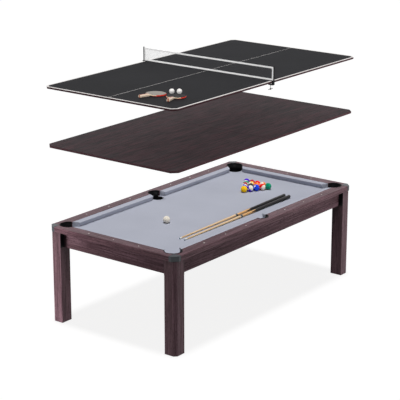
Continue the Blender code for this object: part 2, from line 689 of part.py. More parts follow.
def half_top(name, sign, face, thickness, chamfer, finish, on):
    """Half of a top: clipped outer corners and a straight seam.

    The left half carries the dowels, and the right half has the holes they slide into.
    """
    seam = sign * SEAM / 2
    end = sign * HALF_LENGTH
    outline = [(seam, -HALF_WIDTH), (end - sign * chamfer, -HALF_WIDTH),
               (end, chamfer - HALF_WIDTH), (end, HALF_WIDTH - chamfer),
               (end - sign * chamfer, HALF_WIDTH), (seam, HALF_WIDTH)]
    mesh = moved(plate(outline, thickness), Matrix.Translation((0, 0, face - thickness)))
    top = put(name, mesh, finish, on)
    rounded(top, TOP_EDGE, 2, 30)
    spare = DOWEL_CLEARANCE if sign > 0 else 0
    pins = []
    for share in DOWEL_SHARES:
        pin = cylinder(DOWEL_RADIUS + spare, -DOWEL_LENGTH / 2, DOWEL_LENGTH / 2 + spare, 0, 0,
                       SMALL_STEPS)
        place = Matrix.Translation((0, share * TABLE_WIDTH, face - thickness / 2))
        pins.append(moved(pin, place, Matrix.Rotation(pi / 2, 4, "Y")))
    cut(top, together(pins), "DIFFERENCE" if sign > 0 else "UNION")
    return top


dining_lift = carrier("dining_lift", (0, 0, DINING_FACE))
dining_part = carrier("dining_part", (0, 0, DINING_FACE), dining_lift)
tennis_lift = carrier("tennis_lift", (0, 0, TENNIS_FACE), dining_lift)
tennis_part = carrier("tennis_part", (0, 0, TENNIS_FACE), tennis_lift)
for half, sign, on in (("left", -1, dining_lift), ("right", 1, dining_part)):
    top = half_top("dining_top_" + half, sign, DINING_FACE, DINING_THICKNESS, DINING_CHAMFER,
                   DINING_WOOD, on)
    under = DINING_FACE - DINING_THICKNESS
    cut(top, together([cylinder(PAD_RADIUS, under - PAD_HEIGHT, under + DINING_THICKNESS / 2,
                                sign * spaces * SIGHT_SPACE, side * (HALF_WIDTH - PAD_INSET))
                       for spaces in PAD_SPACES for side in (-1, 1)]), "UNION")
for half, sign, on in (("left", -1, tennis_lift), ("right", 1, tennis_part)):
    half_top("tennis_top_" + half, sign, TENNIS_FACE, TENNIS_THICKNESS, TENNIS_CHAMFER,
             TENNIS_BLACK, on)

# ---- Net and its clamps -----------------------------------------------------------------------------------


def upright(mesh):
    """Stands a plate drawn in (y, height) up across the table, centred on its thickness."""
    return moved(mesh, Matrix(((0, 0, 1, 0), (1, 0, 0, 0), (0, 1, 0, 0), (0, 0, 0, 1))))


def rectangle(left, bottom, right, top):
    """Corners of an upright rectangle."""
    return [(left, bottom), (right, bottom), (right, top), (left, top)]


tape_end = POST_Y - POST_RADIUS - FIT
tape_low = TENNIS_FACE + JAW_THICKNESS + 2 * FIT
tape_high = TENNIS_FACE + NET_TOP
window = (TAPE_WIDTH - tape_end, tape_low + TAPE_WIDTH, tape_end - TAPE_WIDTH,
          tape_high - TAPE_WIDTH)
tape = upright(plate(rectangle(-tape_end, tape_low, tape_end, tape_high), TAPE_THICKNESS,
                     [rectangle(*window)]))
put("net_tape", moved(tape, Matrix.Translation((-TAPE_THICKNESS / 2, 0, 0))), TAPE_WHITE,
    tennis_lift)

left, bottom, right, top = window[0] + FIT, window[1] + FIT, window[2] - FIT, window[3] - FIT
column = (right - left - MESH_STRAND) / MESH_COLUMNS
row = (top - bottom - MESH_STRAND) / MESH_ROWS
gaps = []
for i in range(MESH_COLUMNS):
    for j in range(MESH_ROWS):
        low_y = left + i * column + MESH_STRAND
        low_z = bottom + j * row + MESH_STRAND
        gaps.append(rectangle(low_y, low_z, low_y + column - MESH_STRAND,
                              low_z + row - MESH_STRAND))
mesh_sheet = upright(plate(rectangle(left, bottom, right, top), MESH_THICKNESS, gaps))
put("net_mesh", moved(mesh_sheet, Matrix.Translation((-MESH_THICKNESS / 2, 0, 0))), NET_BLACK,
    tennis_lift)

presser_top = TENNIS_FACE - TENNIS_THICKNESS - FIT
presser_bottom = presser_top - PRESSER_THICKNESS
lower_jaw_top = presser_bottom - PRESSER_TRAVEL - POCKET_CLEARANCE
lower_jaw_bottom = lower_jaw_top - LOWER_JAW_THICKNESS
screw_top = presser_bottom - FIT
screw_bottom = screw_top - SCREW_LENGTH
for side, sign in (("near", -1), ("far", 1)):
    seat = TENNIS_FACE + FIT
    inside = HALF_WIDTH + BACK_GAP
    outside = inside + BACK_THICKNESS
    section = [(HALF_WIDTH - JAW_DEPTH, seat), (inside, seat), (inside, lower_jaw_top),
               (HALF_WIDTH - LOWER_JAW_DEPTH, lower_jaw_top),
               (HALF_WIDTH - LOWER_JAW_DEPTH, lower_jaw_bottom), (outside, lower_jaw_bottom),
               (outside, seat - JAW_THICKNESS),
               (outside + SHELF, seat + JAW_THICKNESS / 3),
               (outside + SHELF, seat + JAW_THICKNESS),
               (HALF_WIDTH - JAW_DEPTH, seat + JAW_THICKNESS)]
    outline = [(sign * y, z) for y, z in section]
    clamp = put("net_clamp_" + side,
                finished(moved(upright(plate(outline, CLAMP_WIDTH)),
                               Matrix.Translation((-CLAMP_WIDTH / 2, 0, 0)))),
                BLACK_STEEL, tennis_lift)
    post_foot = seat + JAW_THICKNESS / 2
    post = turned([(0, tape_high + POST_KNOB), (POST_KNOB / 2, tape_high + POST_KNOB),
                   (POST_KNOB, tape_high + POST_KNOB / 2), (POST_RADIUS, tape_high + FIT),
                   (POST_RADIUS, post_foot), (0, post_foot)], ROUND_STEPS)
    cut(clamp, moved(post, Matrix.Translation((0, sign * POST_Y, 0)),
                     Matrix.Rotation(pi / ROUND_STEPS, 4, "Z")), "UNION")
    axis_y = sign * (HALF_WIDTH - SCREW_INSET)
    cut(clamp, cylinder(SCREW_RADIUS + SCREW_CLEARANCE, lower_jaw_bottom - OVERRUN / 2,
                        lower_jaw_top + PRESSER_TRAVEL / 2, 0, axis_y))
    presser_path = carrier(f"net_presser_{side}_path", (0, axis_y, presser_top), tennis_lift)
    put("net_presser_" + side, cylinder(PRESSER_RADIUS, presser_bottom, presser_top, 0, axis_y),
        PAD_RUBBER, presser_path)
    screw_axis = carrier(f"net_screw_{side}_axis", (0, axis_y, screw_top), presser_path)
    screw = put("net_screw_" + side, moved(turned([
        (0, screw_top), (SCREW_RADIUS, screw_top), (SCREW_RADIUS, screw_bottom),
        (BOSS_RADIUS, screw_bottom), (BOSS_RADIUS, screw_bottom - BOSS_HEIGHT),
        (0, screw_bottom - BOSS_HEIGHT)], ROUND_STEPS),
        Matrix.Translation((0, axis_y, 0))), BRIGHT_STEEL, screw_axis, 40)
    bar = cylinder(BAR_RADIUS, -BAR_LENGTH / 2, BAR_LENGTH / 2, 0, 0, SMALL_STEPS)
    cut(screw, moved(bar, Matrix.Translation((0, axis_y, screw_bottom - BOSS_HEIGHT / 2)),
                     Matrix.Rotation(pi / 2, 4, "Y")), "UNION")

# ---- Paddles and tennis balls ---------------------------------------------------------------------------


def blade_outline(shrink=0):
    """A paddle's blade, whose middle is at the origin and whose handle leaves towards -X."""
    wide = BLADE_WIDTH / 2 - shrink
    long = BLADE_LENGTH / 2 - shrink
    neck = HANDLE_NECK / 2
    first = pi - atan2(2 * neck / BLADE_WIDTH, 1)
    steps = 2 * ARC_STEPS
    angles = [first - 2 * first * step / steps for step in range(steps + 1)]
    return [(long * cos(angle), wide * sin(angle)) for angle in angles]


handle_half = BLADE_THICKNESS / 2 + SCALE_THICKNESS
rubber_half = BLADE_THICKNESS / 2 + FIT + RUBBER_THICKNESS
handle_end = -BLADE_LENGTH / 2 - HANDLE_LENGTH + HANDLE_NECK / 2
scale_start = -BLADE_LENGTH / 2 + HANDLE_NECK / 2
paddle_tilt = atan2(handle_half - rubber_half, BLADE_LENGTH / 2 - scale_start)
for number, (shares, heading) in enumerate(zip(PADDLE_SHARES, PADDLE_HEADINGS), 1):
    x, y = shares[0] * TABLE_LENGTH, shares[1] * TABLE_WIDTH
    outline = blade_outline()
    outline = [(handle_end, -HANDLE_WIDTH / 2), *outline[::-1], (handle_end, HANDLE_WIDTH / 2)]
    ply = moved(plate(outline, BLADE_THICKNESS), Matrix.Translation((0, 0, -BLADE_THICKNESS / 2)))
    grip = [(handle_end, -HANDLE_WIDTH / 2), (scale_start, -HANDLE_NECK / 2),
            (scale_start, HANDLE_NECK / 2), (handle_end, HANDLE_WIDTH / 2)]
    over = BLADE_THICKNESS / 2 + FIT
    lift = rubber_half * cos(paddle_tilt) + BLADE_LENGTH / 2 * sin(paddle_tilt)
    place = (Matrix.Translation((x, y, TENNIS_FACE + FIT + lift)),
             Matrix.Rotation(heading, 4, "Z"), Matrix.Rotation(paddle_tilt, 4, "Y"))
    hold = carrier(f"paddle_{number}_lift", (x, y, TENNIS_FACE), tennis_lift)
    paddle = put(f"paddle_{number}", moved(ply, *place), PADDLE_PLY, hold)
    cut(paddle, moved(plate(grip, 2 * handle_half),
                      *place, Matrix.Translation((0, 0, -handle_half))), "UNION")
    face = [place for place in blade_outline(RUBBER_EDGE) if place[0] > scale_start + FIT]
    for side, low in (("top", over), ("bottom", -over - RUBBER_THICKNESS)):
        put(f"paddle_{number}_rubber_{side}",
            moved(plate(face, RUBBER_THICKNESS), *place, Matrix.Translation((0, 0, low))),
            PADDLE_RUBBER, hold)

for number, shares in enumerate(TENNIS_BALL_SHARES, 1):
    x, y = shares[0] * TABLE_LENGTH, shares[1] * TABLE_WIDTH
    hold = carrier(f"tennis_ball_{number}_lift", (x, y, TENNIS_FACE), tennis_lift)
    put(f"tennis_ball_{number}",
        sphere(TENNIS_BALL_RADIUS, x, y, TENNIS_FACE + FIT + TENNIS_BALL_RADIUS), BALL_WHITE,
        hold, 80)
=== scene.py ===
import json
from math import atan2, cos, pi, radians, sin, sqrt

import bmesh
import bpy
import numpy as np
from mathutils import Matrix, Vector

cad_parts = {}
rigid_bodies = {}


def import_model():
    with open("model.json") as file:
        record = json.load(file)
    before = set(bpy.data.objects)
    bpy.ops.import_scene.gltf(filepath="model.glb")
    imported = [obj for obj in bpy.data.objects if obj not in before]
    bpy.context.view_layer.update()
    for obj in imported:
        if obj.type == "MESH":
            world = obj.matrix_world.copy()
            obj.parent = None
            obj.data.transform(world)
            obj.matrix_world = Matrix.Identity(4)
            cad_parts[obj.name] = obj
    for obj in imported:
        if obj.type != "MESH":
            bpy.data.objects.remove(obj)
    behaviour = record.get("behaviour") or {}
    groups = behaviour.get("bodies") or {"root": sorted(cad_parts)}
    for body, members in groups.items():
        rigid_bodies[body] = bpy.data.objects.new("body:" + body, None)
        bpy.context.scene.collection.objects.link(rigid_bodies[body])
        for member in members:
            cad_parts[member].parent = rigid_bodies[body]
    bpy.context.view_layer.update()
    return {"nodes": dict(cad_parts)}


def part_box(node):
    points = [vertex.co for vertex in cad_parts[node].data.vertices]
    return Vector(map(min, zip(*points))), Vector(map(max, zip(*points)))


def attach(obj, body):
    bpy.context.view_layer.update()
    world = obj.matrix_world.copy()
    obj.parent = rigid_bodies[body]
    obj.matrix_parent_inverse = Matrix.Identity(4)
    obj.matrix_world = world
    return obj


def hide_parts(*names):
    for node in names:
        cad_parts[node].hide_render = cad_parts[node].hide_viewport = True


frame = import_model()
solids = frame["nodes"]

# Legs
# Four square posts of oak, stained espresso and lacquered satin, the outer corner clipped off.
# Each stands on a black nylon glide, and two black steel angles bolt it to the aprons.

CORNERS = {"near_left": (-1, -1), "near_right": (1, -1), "far_right": (1, 1), "far_left": (-1, 1)}
GLIDE_HEIGHT = 0.0042
LEG_INNER = {"X": 1.0968, "Y": 0.5218}


def linear(colour):
    """An sRGB hex colour as linear RGBA: a channel over 12.92 up to 0.04045, and above that the
    channel plus 0.055, over 1.055, to the power 2.4."""
    share = np.array([int(colour[place:place + 2], 16) for place in (1, 3, 5)]) / 255
    bright = ((share + 0.055) / 1.055) ** 2.4
    return (*np.where(share <= 0.04045, share / 12.92, bright), 1.0)


def node(material, kind, inputs=None, output=0, **settings):
    """Adds a shader node. Settings go on the node, and an input takes a value, a hex colour or
    another node's output. Returns one of its outputs, if it has any."""
    made = material.node_tree.nodes.new("ShaderNode" + kind)
    for name, value in settings.items():
        setattr(made, name, value)
    for name, value in (inputs or {}).items():
        if isinstance(value, bpy.types.NodeSocket):
            material.node_tree.links.new(value, made.inputs[name])
        else:
            made.inputs[name].default_value = linear(value) if isinstance(value, str) else value
    return made.outputs[output] if made.outputs else None


def finish(name):
    """A material with no nodes yet."""
    made = bpy.data.materials.new(name)
    made.use_nodes = True
    made.node_tree.nodes.clear()
    return made


def spot(material, attribute=None):
    """Where a point is on the object, or by an attribute: as a vector, and as its X, Y and Z."""
    if attribute:
        place = node(material, "Attribute", output="Vector", attribute_name=attribute)
    else:
        place = node(material, "TexCoord", output="Object")
    return place, node(material, "SeparateXYZ", {"Vector": place}).node.outputs


def surface(material, colour, shine, gloss=None, relief=None):
    """Gives a material its shader: a colour, and what shine sets. Gloss is a noise and the two
    roughnesses that it runs between, and relief a height with its bump's strength and distance.
    Returns the shader's output."""
    inputs = {"Base Color": colour, **shine}
    if gloss:
        inputs["Roughness"] = node(material, "MapRange", {
            "Value": gloss[0], "To Min": gloss[1], "To Max": gloss[2]})
    if relief:
        inputs["Normal"] = node(material, "Bump", {
            "Height": relief[0], "Strength": relief[1], "Distance": relief[2]})
    shader = node(material, "BsdfPrincipled", inputs)
    node(material, "OutputMaterial", {"Surface": shader})
    return shader


def layered(material, colour, *layers):
    """A colour with others laid over it. Each layer is a share, and the colours where that is 0
    and where it is 1; None there is the colour so far."""
    for share, *ends in layers:
        low, high = [colour if end is None else end for end in ends]
        colour = node(material, "MixRGB", {"Fac": share, "Color1": low, "Color2": high})
    return colour


def drawn_out(material, place, sizes, inputs):
    """Noise on a place, stretched to these sizes in metres along X, Y and Z."""
    drawn = node(material, "Mapping", {"Vector": place, "Scale": [1 / size for size in sizes]})
    return node(material, "TexNoise", {"Vector": drawn, "Scale": 1.0, **inputs})


def figure(wood, along, width, length, detail, low, high):
    """Noise drawn out along the grain: as it is, and as a share between two of its levels."""
    sizes = [length if axis == along else width for axis in "XYZ"]
    noise = drawn_out(wood, node(wood, "TexCoord", output="Object"), sizes,
                      {"Detail": detail, "Roughness": 0.6})
    return noise, node(wood, "MapRange", {"Value": noise, "From Min": low, "From Max": high})


def stained_oak(name, along, lustre, pale="#7e616a", middle="#664d53"):
    """Oak under an espresso stain and a satin lacquer, its grain along one axis. The eye gets plum
    brown with long paler streaks, short dark pores and a soft sheen, which lustre sets. The
    streaks are 1 to 3 mm wide on the wood, and are drawn 9 mm wide and 300 mm long so that they
    show; the pores, 0.3 mm wide, are drawn 2 mm wide. Returns the material, its shader's colour
    input and the colour that goes there."""
    oak = finish(name)
    board = figure(oak, along, 0.070, 0.900, 2, 0.35, 0.65)[1]
    grain, streak = figure(oak, along, 0.009, 0.300, 4, 0.34, 0.68)
    pore = figure(oak, along, 0.002, 0.028, 2, 0.36, 0.44)[1]
    colour = layered(oak, pale, (board, middle, None), (streak, "#3f2b30", None),
                     (pore, "#2e1f23", None))
    shader = surface(oak, colour, {
        "IOR": 1.5, "Specular IOR Level": lustre}, (grain, 0.50, 0.36), (pore, 0.25, 0.0003))
    return oak, shader.node.inputs["Base Color"], colour


def dress(names, material):
    """Gives solids of the frame a material in every slot they have."""
    for name in names:
        for slot in solids[name].material_slots:
            slot.material = material


leg_oak, leg_input, leg_colour = stained_oak("stained_oak_upright", "Z", 0.15)
leg_spot = spot(leg_oak)[1]
# The glide is the lowest part of the solid, and the angles lie inside its inner faces.
fittings = node(leg_oak, "Math", {0: leg_spot["Z"], 1: GLIDE_HEIGHT}, operation="LESS_THAN")
for axis, edge in LEG_INNER.items():
    out = node(leg_oak, "Math", {0: leg_spot[axis]}, operation="ABSOLUTE")
    inner = node(leg_oak, "Math", {0: out, 1: edge}, operation="LESS_THAN")
    fittings = node(leg_oak, "Math", {0: fittings, 1: inner}, operation="MAXIMUM")
leg_fitted = layered(leg_oak, leg_colour, (fittings, None, "#161617"))
leg_oak.node_tree.links.new(leg_fitted, leg_input)
dress(["leg_" + corner for corner in CORNERS], leg_oak)

# Aprons
# Four boards of the same stained oak on edge, set back from the legs' faces and bolted to them.
# The grain runs along each board.

dress(["apron_near", "apron_far"], stained_oak("stained_oak_lengthways", "X", 0.06)[0])
dress(["apron_left", "apron_right"], stained_oak("stained_oak_crossways", "Y", 0.06)[0])

# Cross beams and bed board
# Four planed pine beams span the aprons, and the bed is a board of wood fibre laid on them.
# Both stay raw, because only someone under the table sees them.

PINE_RINGS = (0.012, 0.4, 0.012)


def mottled(name, dark, light, grain, detail, shader, gloss=None, relief=None, levels=None,
            distortion=0.0):
    """A material whose colour wanders between two tones on a noise, with a grain in metres. What
    shader holds is set on its shader. Gloss is two roughnesses that follow the noise too, relief
    a bump's strength and depth, and levels where on the noise the tones start and end."""
    made = finish(name)
    mist = node(made, "TexNoise", {
        "Vector": node(made, "TexCoord", output="Object"), "Scale": 1 / grain, "Detail": detail,
        "Distortion": distortion})
    share = mist
    if levels:
        share = node(made, "MapRange", {
            "Value": mist, "From Min": levels[0], "From Max": levels[1]})
    surface(made, layered(made, dark, (share, None, light)), shader,
            (mist, *gloss) if gloss else None, (mist, *relief) if relief else None)
    return made


raw_pine = finish("planed_pine")
pine_rings = drawn_out(raw_pine, node(raw_pine, "TexCoord", output="Object"), PINE_RINGS,
                       {"Detail": 3.0, "Distortion": 0.6})
pine_share = node(raw_pine, "MapRange", {"Value": pine_rings, "From Min": 0.35, "From Max": 0.65})
surface(raw_pine, layered(raw_pine, "#c9a87a", (pine_share, None, "#dcc398")), {
    "Roughness": 0.7, "IOR": 1.5}, relief=(pine_rings, 0.2, 0.0004))
dress([f"cross_beam_{number}" for number in (1, 2, 3, 4)], raw_pine)

# Pressed fibre: an even tan, speckled with fibres 1 to 2 mm long, drawn 4 mm so that they show.
fibre_board = mottled("pressed_fibre_board", "#6f5a43", "#8a7357", 0.004, 3.0,
                      {"Roughness": 0.8, "IOR": 1.5}, levels=(0.3, 0.7))
dress(["bed_board"], fibre_board)

# Bed cloth
# One piece of grey worsted wool, stretched over the bed board and glued, with a round cut out
# at each pocket. It is woven in fine yarn and brushed, so it looks even and slightly blue.

# The cloth's rounds at the pockets: middle along, middle across and radius.
CORNER_CUP = (1.094, 0.519, 0.058)
SIDE_CUP = (0.0, 0.524, 0.053)
CLOTH_REACH = 0.5767
NOTCH_REACH = 0.5217
CLOTH_THICKNESS = 0.0017
# The real threads are 0.3 mm apart and would not show. The yarn's flecks are drawn 3 mm across,
# and the weave's bands 2 pi times as far apart, 19 mm: a wave texture is the sine of 20 times its
# scale times the place.
THREAD_DRAWN = 0.003
WAVE_RATE = 20


def points_of(x, y, z):
    """Coordinates that broadcast against one another, as one array of points."""
    return np.stack(np.broadcast_arrays(x, y, z), axis=-1)


def grid_piece(name, points, material, body, stands_for=None, wrap=(False, True),
               keep=None, values=None, crease=40):
    """A piece from points worked out on a grid, or on several grids of one size. Neighbouring
    points in a grid make its faces; wrap joins its last row or column to the first, keep picks
    the faces that stay, and values are the attributes that its material reads."""
    rows, columns = points.shape[-3:-1]
    points = points.reshape(-1, rows, columns, 3)
    index = np.arange(rows * columns).reshape(rows, columns)
    if wrap[0]:
        index = np.vstack([index, index[:1]])
    if wrap[1]:
        index = np.hstack([index, index[:, :1]])
    faces = np.stack([index[:-1, :-1], index[1:, :-1], index[1:, 1:], index[:-1, 1:]], axis=-1)
    faces = faces.reshape(-1, 4) if keep is None else faces[keep]
    starts = np.arange(len(points))[:, None, None] * rows * columns
    mesh = bpy.data.meshes.new(name)
    mesh.from_pydata(points.reshape(-1, 3).tolist(), [], (starts + faces).reshape(-1, 4).tolist())
    for value_name, (kind, field, value) in (values or {}).items():
        layer = mesh.attributes.new(value_name, kind, "POINT")
        layer.data.foreach_set(field, np.asarray(value, np.float32).ravel())
    welded = bmesh.new()
    welded.from_mesh(mesh)
    bmesh.ops.remove_doubles(welded, verts=welded.verts, dist=1e-6)
    bmesh.ops.delete(welded, geom=[v for v in welded.verts if not v.link_faces], context="VERTS")
    bmesh.ops.recalc_face_normals(welded, faces=welded.faces)
    welded.to_mesh(mesh)
    welded.free()
    mesh.shade_smooth()
    mesh.set_sharp_from_angle(angle=radians(crease))
    mesh.materials.append(material)
    piece = bpy.data.objects.new(name, mesh)
    bpy.context.scene.collection.objects.link(piece)
    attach(piece, body)
    if stands_for:
        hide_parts(stands_for)
    return piece


def bed_reach(x):
    """How far the cloth reaches across at each x: to the aprons, to the notches round the legs,
    or to the nearest pocket's round, which is its centre less the square root of its radius
    squared less the distance along from it squared."""
    reach = np.where(np.abs(x) > CORNER_CUP[0], NOTCH_REACH, CLOTH_REACH)
    for centre, across, radius in (CORNER_CUP, SIDE_CUP):
        inside = radius ** 2 - (np.abs(x) - centre) ** 2
        arc = across - np.sqrt(np.maximum(inside, 0))
        reach = np.where(inside > 0, np.minimum(reach, arc), reach)
    return reach


worsted = finish("worsted_wool_cloth")
wool_place = node(worsted, "TexCoord", output="Object")
wool_cloud = node(worsted, "TexNoise", {"Vector": wool_place, "Scale": 1 / 0.35, "Detail": 2.0})
wool_even = node(worsted, "MapRange", {"Value": wool_cloud, "From Min": 0.3, "From Max": 0.7})
wool_base = layered(worsted, "#abaebb", (wool_even, None, "#b0b3c0"))
wool_yarn = node(worsted, "TexNoise", {
    "Vector": wool_place, "Scale": 1 / THREAD_DRAWN, "Detail": 2.0})
wool_fleck = node(worsted, "MapRange", {
    "Value": wool_yarn, "From Min": 0.3, "From Max": 0.7, "To Min": 0.94, "To Max": 1.0})
wool_colour = node(worsted, "MixRGB", {
    "Fac": 1.0, "Color1": wool_base, "Color2": wool_fleck}, blend_type="MULTIPLY")
wool_warp, wool_weft = [node(worsted, "TexWave", {
    "Vector": wool_place, "Scale": 1 / THREAD_DRAWN / WAVE_RATE}, output="Fac",
    bands_direction=way) for way in "XY"]
wool_weave = node(worsted, "Math", {0: wool_warp, 1: wool_weft}, operation="MULTIPLY")
surface(worsted, wool_colour, {
    "Roughness": 0.9, "IOR": 1.45, "Specular IOR Level": 0.3, "Sheen Weight": 0.15,
    "Sheen Roughness": 0.5}, relief=(wool_weave, 0.15, 0.0003))

bed_low, bed_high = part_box("bed_cloth")
arc_steps = np.cos(np.linspace(0, pi, 33))
bed_x = np.concatenate([np.linspace(bed_low.x, bed_high.x, 41), SIDE_CUP[2] * arc_steps,
                        CORNER_CUP[0] + CORNER_CUP[2] * arc_steps,
                        -CORNER_CUP[0] - CORNER_CUP[2] * arc_steps,
                        [CORNER_CUP[0] + 0.0001, -CORNER_CUP[0] - 0.0001]])
bed_x = np.unique(np.round(np.clip(bed_x, bed_low.x, bed_high.x), 6))
bed_points = points_of(bed_x, np.linspace(-1, 1, 25)[:, None] * bed_reach(bed_x), bed_high.z)
cloth = grid_piece("cloth_on_bed", bed_points, worsted, "table", "bed_cloth",
                   wrap=(False, False))
if cloth.data.polygons[0].normal.z < 0:
    cloth.data.flip_normals()
skin = cloth.modifiers.new("thickness", "SOLIDIFY")
skin.thickness = CLOTH_THICKNESS
skin.offset = -1

# Rails and sights
# Four lengths of the stained oak lie round the bed, screwed down from below. Eighteen discs of
# mother of pearl are let into their tops, as marks to aim by, and polished flush.

SIGHT_RADIUS = 0.0050
SIGHT_RISE = 0.0004
RAIL_MIDDLE = 0.046
PLAY = (2.154, 1.004)

# The rails' stain is drawn paler than the rest of the frame, a painted highlight for the light on
# their tops, and their lacquer has a higher sheen than the aprons'.
for sides, along, way in ((("near", "far"), "X", "lengthways"),
                          (("left", "right"), "Y", "crossways")):
    dress(["rail_" + side for side in sides],
          stained_oak("rail_oak_painted_paler_" + way, along, 0.12, "#84646c", "#6c4e56")[0])

pearl = mottled("mother_of_pearl", "#ece2dc", "#fbf7f4", 0.004, 2.0, {
    "Roughness": 0.25, "IOR": 1.53, "Coat Weight": 0.5, "Coat Roughness": 0.08}, distortion=1.0)
rail_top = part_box("rail_near")[1].z
cap_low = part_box("cap_near_left")[0]
half_length, half_width = -cap_low.x, -cap_low.y
sight_spots = [(count * PLAY[0] / 8, side * (half_width - RAIL_MIDDLE), rail_top)
               for side in (-1, 1) for count in (-3, -2, -1, 1, 2, 3)]
sight_spots += [(side * (half_length - RAIL_MIDDLE), count * PLAY[1] / 4, rail_top)
                for side in (-1, 1) for count in (-1, 0, 1)]
# Each disc in polar form: the height falls with the square of the radius from a slight crown,
# and the rim turns down into the socket.
disc_angle = np.linspace(0, 2 * pi, 24, endpoint=False)
disc_radius = np.array([0, 0.4, 0.75, 0.95, 1.0, 1.0])[:, None] * SIGHT_RADIUS
disc_height = np.array([1, 0.84, 0.44, 0.1, -0.4, -6])[:, None] * SIGHT_RISE
disc = points_of(disc_radius * np.cos(disc_angle), disc_radius * np.sin(disc_angle), disc_height)
grid_piece("rail_sights", np.array(sight_spots)[:, None, None, :] + disc, pearl, "table")

# Corner caps
# Four mouldings of dark grey ABS clip over the rails' mitred ends. The mould was spark eroded,
# so the surface has a fine, even grain that takes the shine down to satin.

satin_abs = mottled("satin_abs", "#383b3f", "#43464b", 0.0015, 1.0, {
    "IOR": 1.54, "Specular IOR Level": 0.3}, gloss=(0.34, 0.46), relief=(0.15, 0.0002))
dress(["cap_" + corner for corner in CORNERS], satin_abs)

# Cushions
# Six strips of moulded rubber under the same wool, glued along the rails. The nose overhangs the
# bed, the face below slopes back, and the ends are cut at a slant to open the pockets.

RAIL_FACE = (1.123, 0.548)
CUSHION_SECTION = ((0.0003, 0.7553), (0.0003, 0.7997), (0.030, 0.7985), (0.046, 0.7935),
                   (0.0455, 0.7860), (0.033, 0.7553))
CUSHION_ROUNDS = (0.001, 0.003, 0.010, 0.0035, 0.0035, 0.001)
SECTION_MIDDLE = (0.022, 0.779)
END_ROUND = 0.97
CORNER_SLANT = 0.78
SIDE_SLANT = 0.28
CORNER_START = 0.1846
SIDE_START = 0.0659


def softened(outline, rounds, steps):
    """A closed outline whose corners become parabolas: from a point one round before the corner
    to a point one round after it, weighted (1 - t) squared, 2 t (1 - t) and t squared."""
    corner = np.array(outline, float)
    into = np.roll(corner, 1, 0) - corner
    away = np.roll(corner, -1, 0) - corner
    reach = np.array(rounds, float)[:, None]
    start = corner + reach * into / np.linalg.norm(into, axis=1, keepdims=True)
    end = corner + reach * away / np.linalg.norm(away, axis=1, keepdims=True)
    t = np.linspace(0, 1, steps)[None, :, None]
    return ((1 - t) ** 2 * start[:, None] + 2 * t * (1 - t) * corner[:, None]
            + t ** 2 * end[:, None]).reshape(-1, 2)


def cushion(node_name, along_x, sign, ends, slants):
    """A strip along a rail: its rounded section is carried from one end to the other, and each
    end draws in by its slant times the depth from the rail. The ends close on their middles."""
    depth, height = softened(CUSHION_SECTION, CUSHION_ROUNDS, 6).T
    share = np.concatenate([[0, 0.0006], np.linspace(0.004, 0.996, 25), [0.9994, 1]])[:, None]
    start = ends[0] + slants[0] * depth
    stop = ends[1] - slants[1] * depth
    draw = np.ones_like(share)
    draw[[0, -1]] = END_ROUND
    rows = points_of(start + share * (stop - start),
                     SECTION_MIDDLE[0] + (depth - SECTION_MIDDLE[0]) * draw,
                     SECTION_MIDDLE[1] + (height - SECTION_MIDDLE[1]) * draw)
    tips = [np.broadcast_to((row[:, 0].mean(), *SECTION_MIDDLE), row.shape)
            for row in (rows[0], rows[-1])]
    along, depth, height = np.moveaxis(np.stack([tips[0], *rows, tips[1]]), -1, 0)
    across = sign * (RAIL_FACE[1 if along_x else 0] - depth)
    points = points_of(along, across, height) if along_x else points_of(across, along, height)
    strip = grid_piece("cloth_" + node_name, points, worsted, "table", node_name,
                       crease=50)


for side, sign in (("near", -1), ("far", 1)):
    cushion(f"cushion_{side}_left", True, sign, (CORNER_START - half_length, -SIDE_START),
            (CORNER_SLANT, SIDE_SLANT))
    cushion(f"cushion_{side}_right", True, sign, (SIDE_START, half_length - CORNER_START),
            (SIDE_SLANT, CORNER_SLANT))
for side, sign in (("left", -1), ("right", 1)):
    cushion("cushion_" + side, False, sign, (CORNER_START - half_width, half_width - CORNER_START),
            (CORNER_SLANT, CORNER_SLANT))

# Pockets
# Six one-piece mouldings of matt black polypropylene, dropped into the holes and screwed under
# the rails. The throat leans in past the apron to a basket with eight slots, and a rounded lip
# laps over the rails.

WALL_TOP = 0.0016
CLOTH_LINE = 0.754
KNEE = 0.759
POCKET_WALL = 0.0035
BASKET_BOTTOM = 0.655
BASKET_TAPER = 0.007
SLOT_PITCH = pi / 4
SLOT_HALF = 0.104
SLOT_HEIGHTS = (0.725, 0.670)
THROAT_HEIGHT = 0.740
# The basket's floor rounds in from the wall: at each height, by how much, and then to its middle.
FLOOR_HEIGHTS = (0.664, 0.660, 0.657, BASKET_BOTTOM, BASKET_BOTTOM)
FLOOR_INSETS = (0.0002, 0.0011, 0.0028, 0.0065, 0)
LIP_STEPS = 49
# How far the lip reaches out over the rail, its top, seat and foot above the rail, how far the
# foot keeps in from the rim, and the rounds of its section's corners.
LIP_REACH = 0.0025
LIP_RISE = (0.0022, 0.0003, -0.004)
LIP_FIT = 0.0002
LIP_ROUNDS = (0.001, 0.0014, 0.0009, 0.0008, 0.0001, 0.0005)
# For the corners: centre in from the caps, rim and cup radii, lean and mouth. For the sides too.
CORNER_POCKET = (0.115, 0.070, 0.057, 0.0085, 0.0266)
SIDE_POCKET = (0.096, 0.062, 0.052, 0.020, -0.008)

polypropylene = mottled("moulded_polypropylene", "#0b0b0c", "#121214", 0.002, 2.0, {
    "IOR": 1.49, "Specular IOR Level": 0.05}, gloss=(0.38, 0.52), relief=(0.2, 0.0003))


def moved(points, matrix):
    """Points turned and then shifted by a 4 x 4 matrix."""
    matrix = np.array(matrix)
    return points @ matrix[:3, :3].T + matrix[:3, 3]


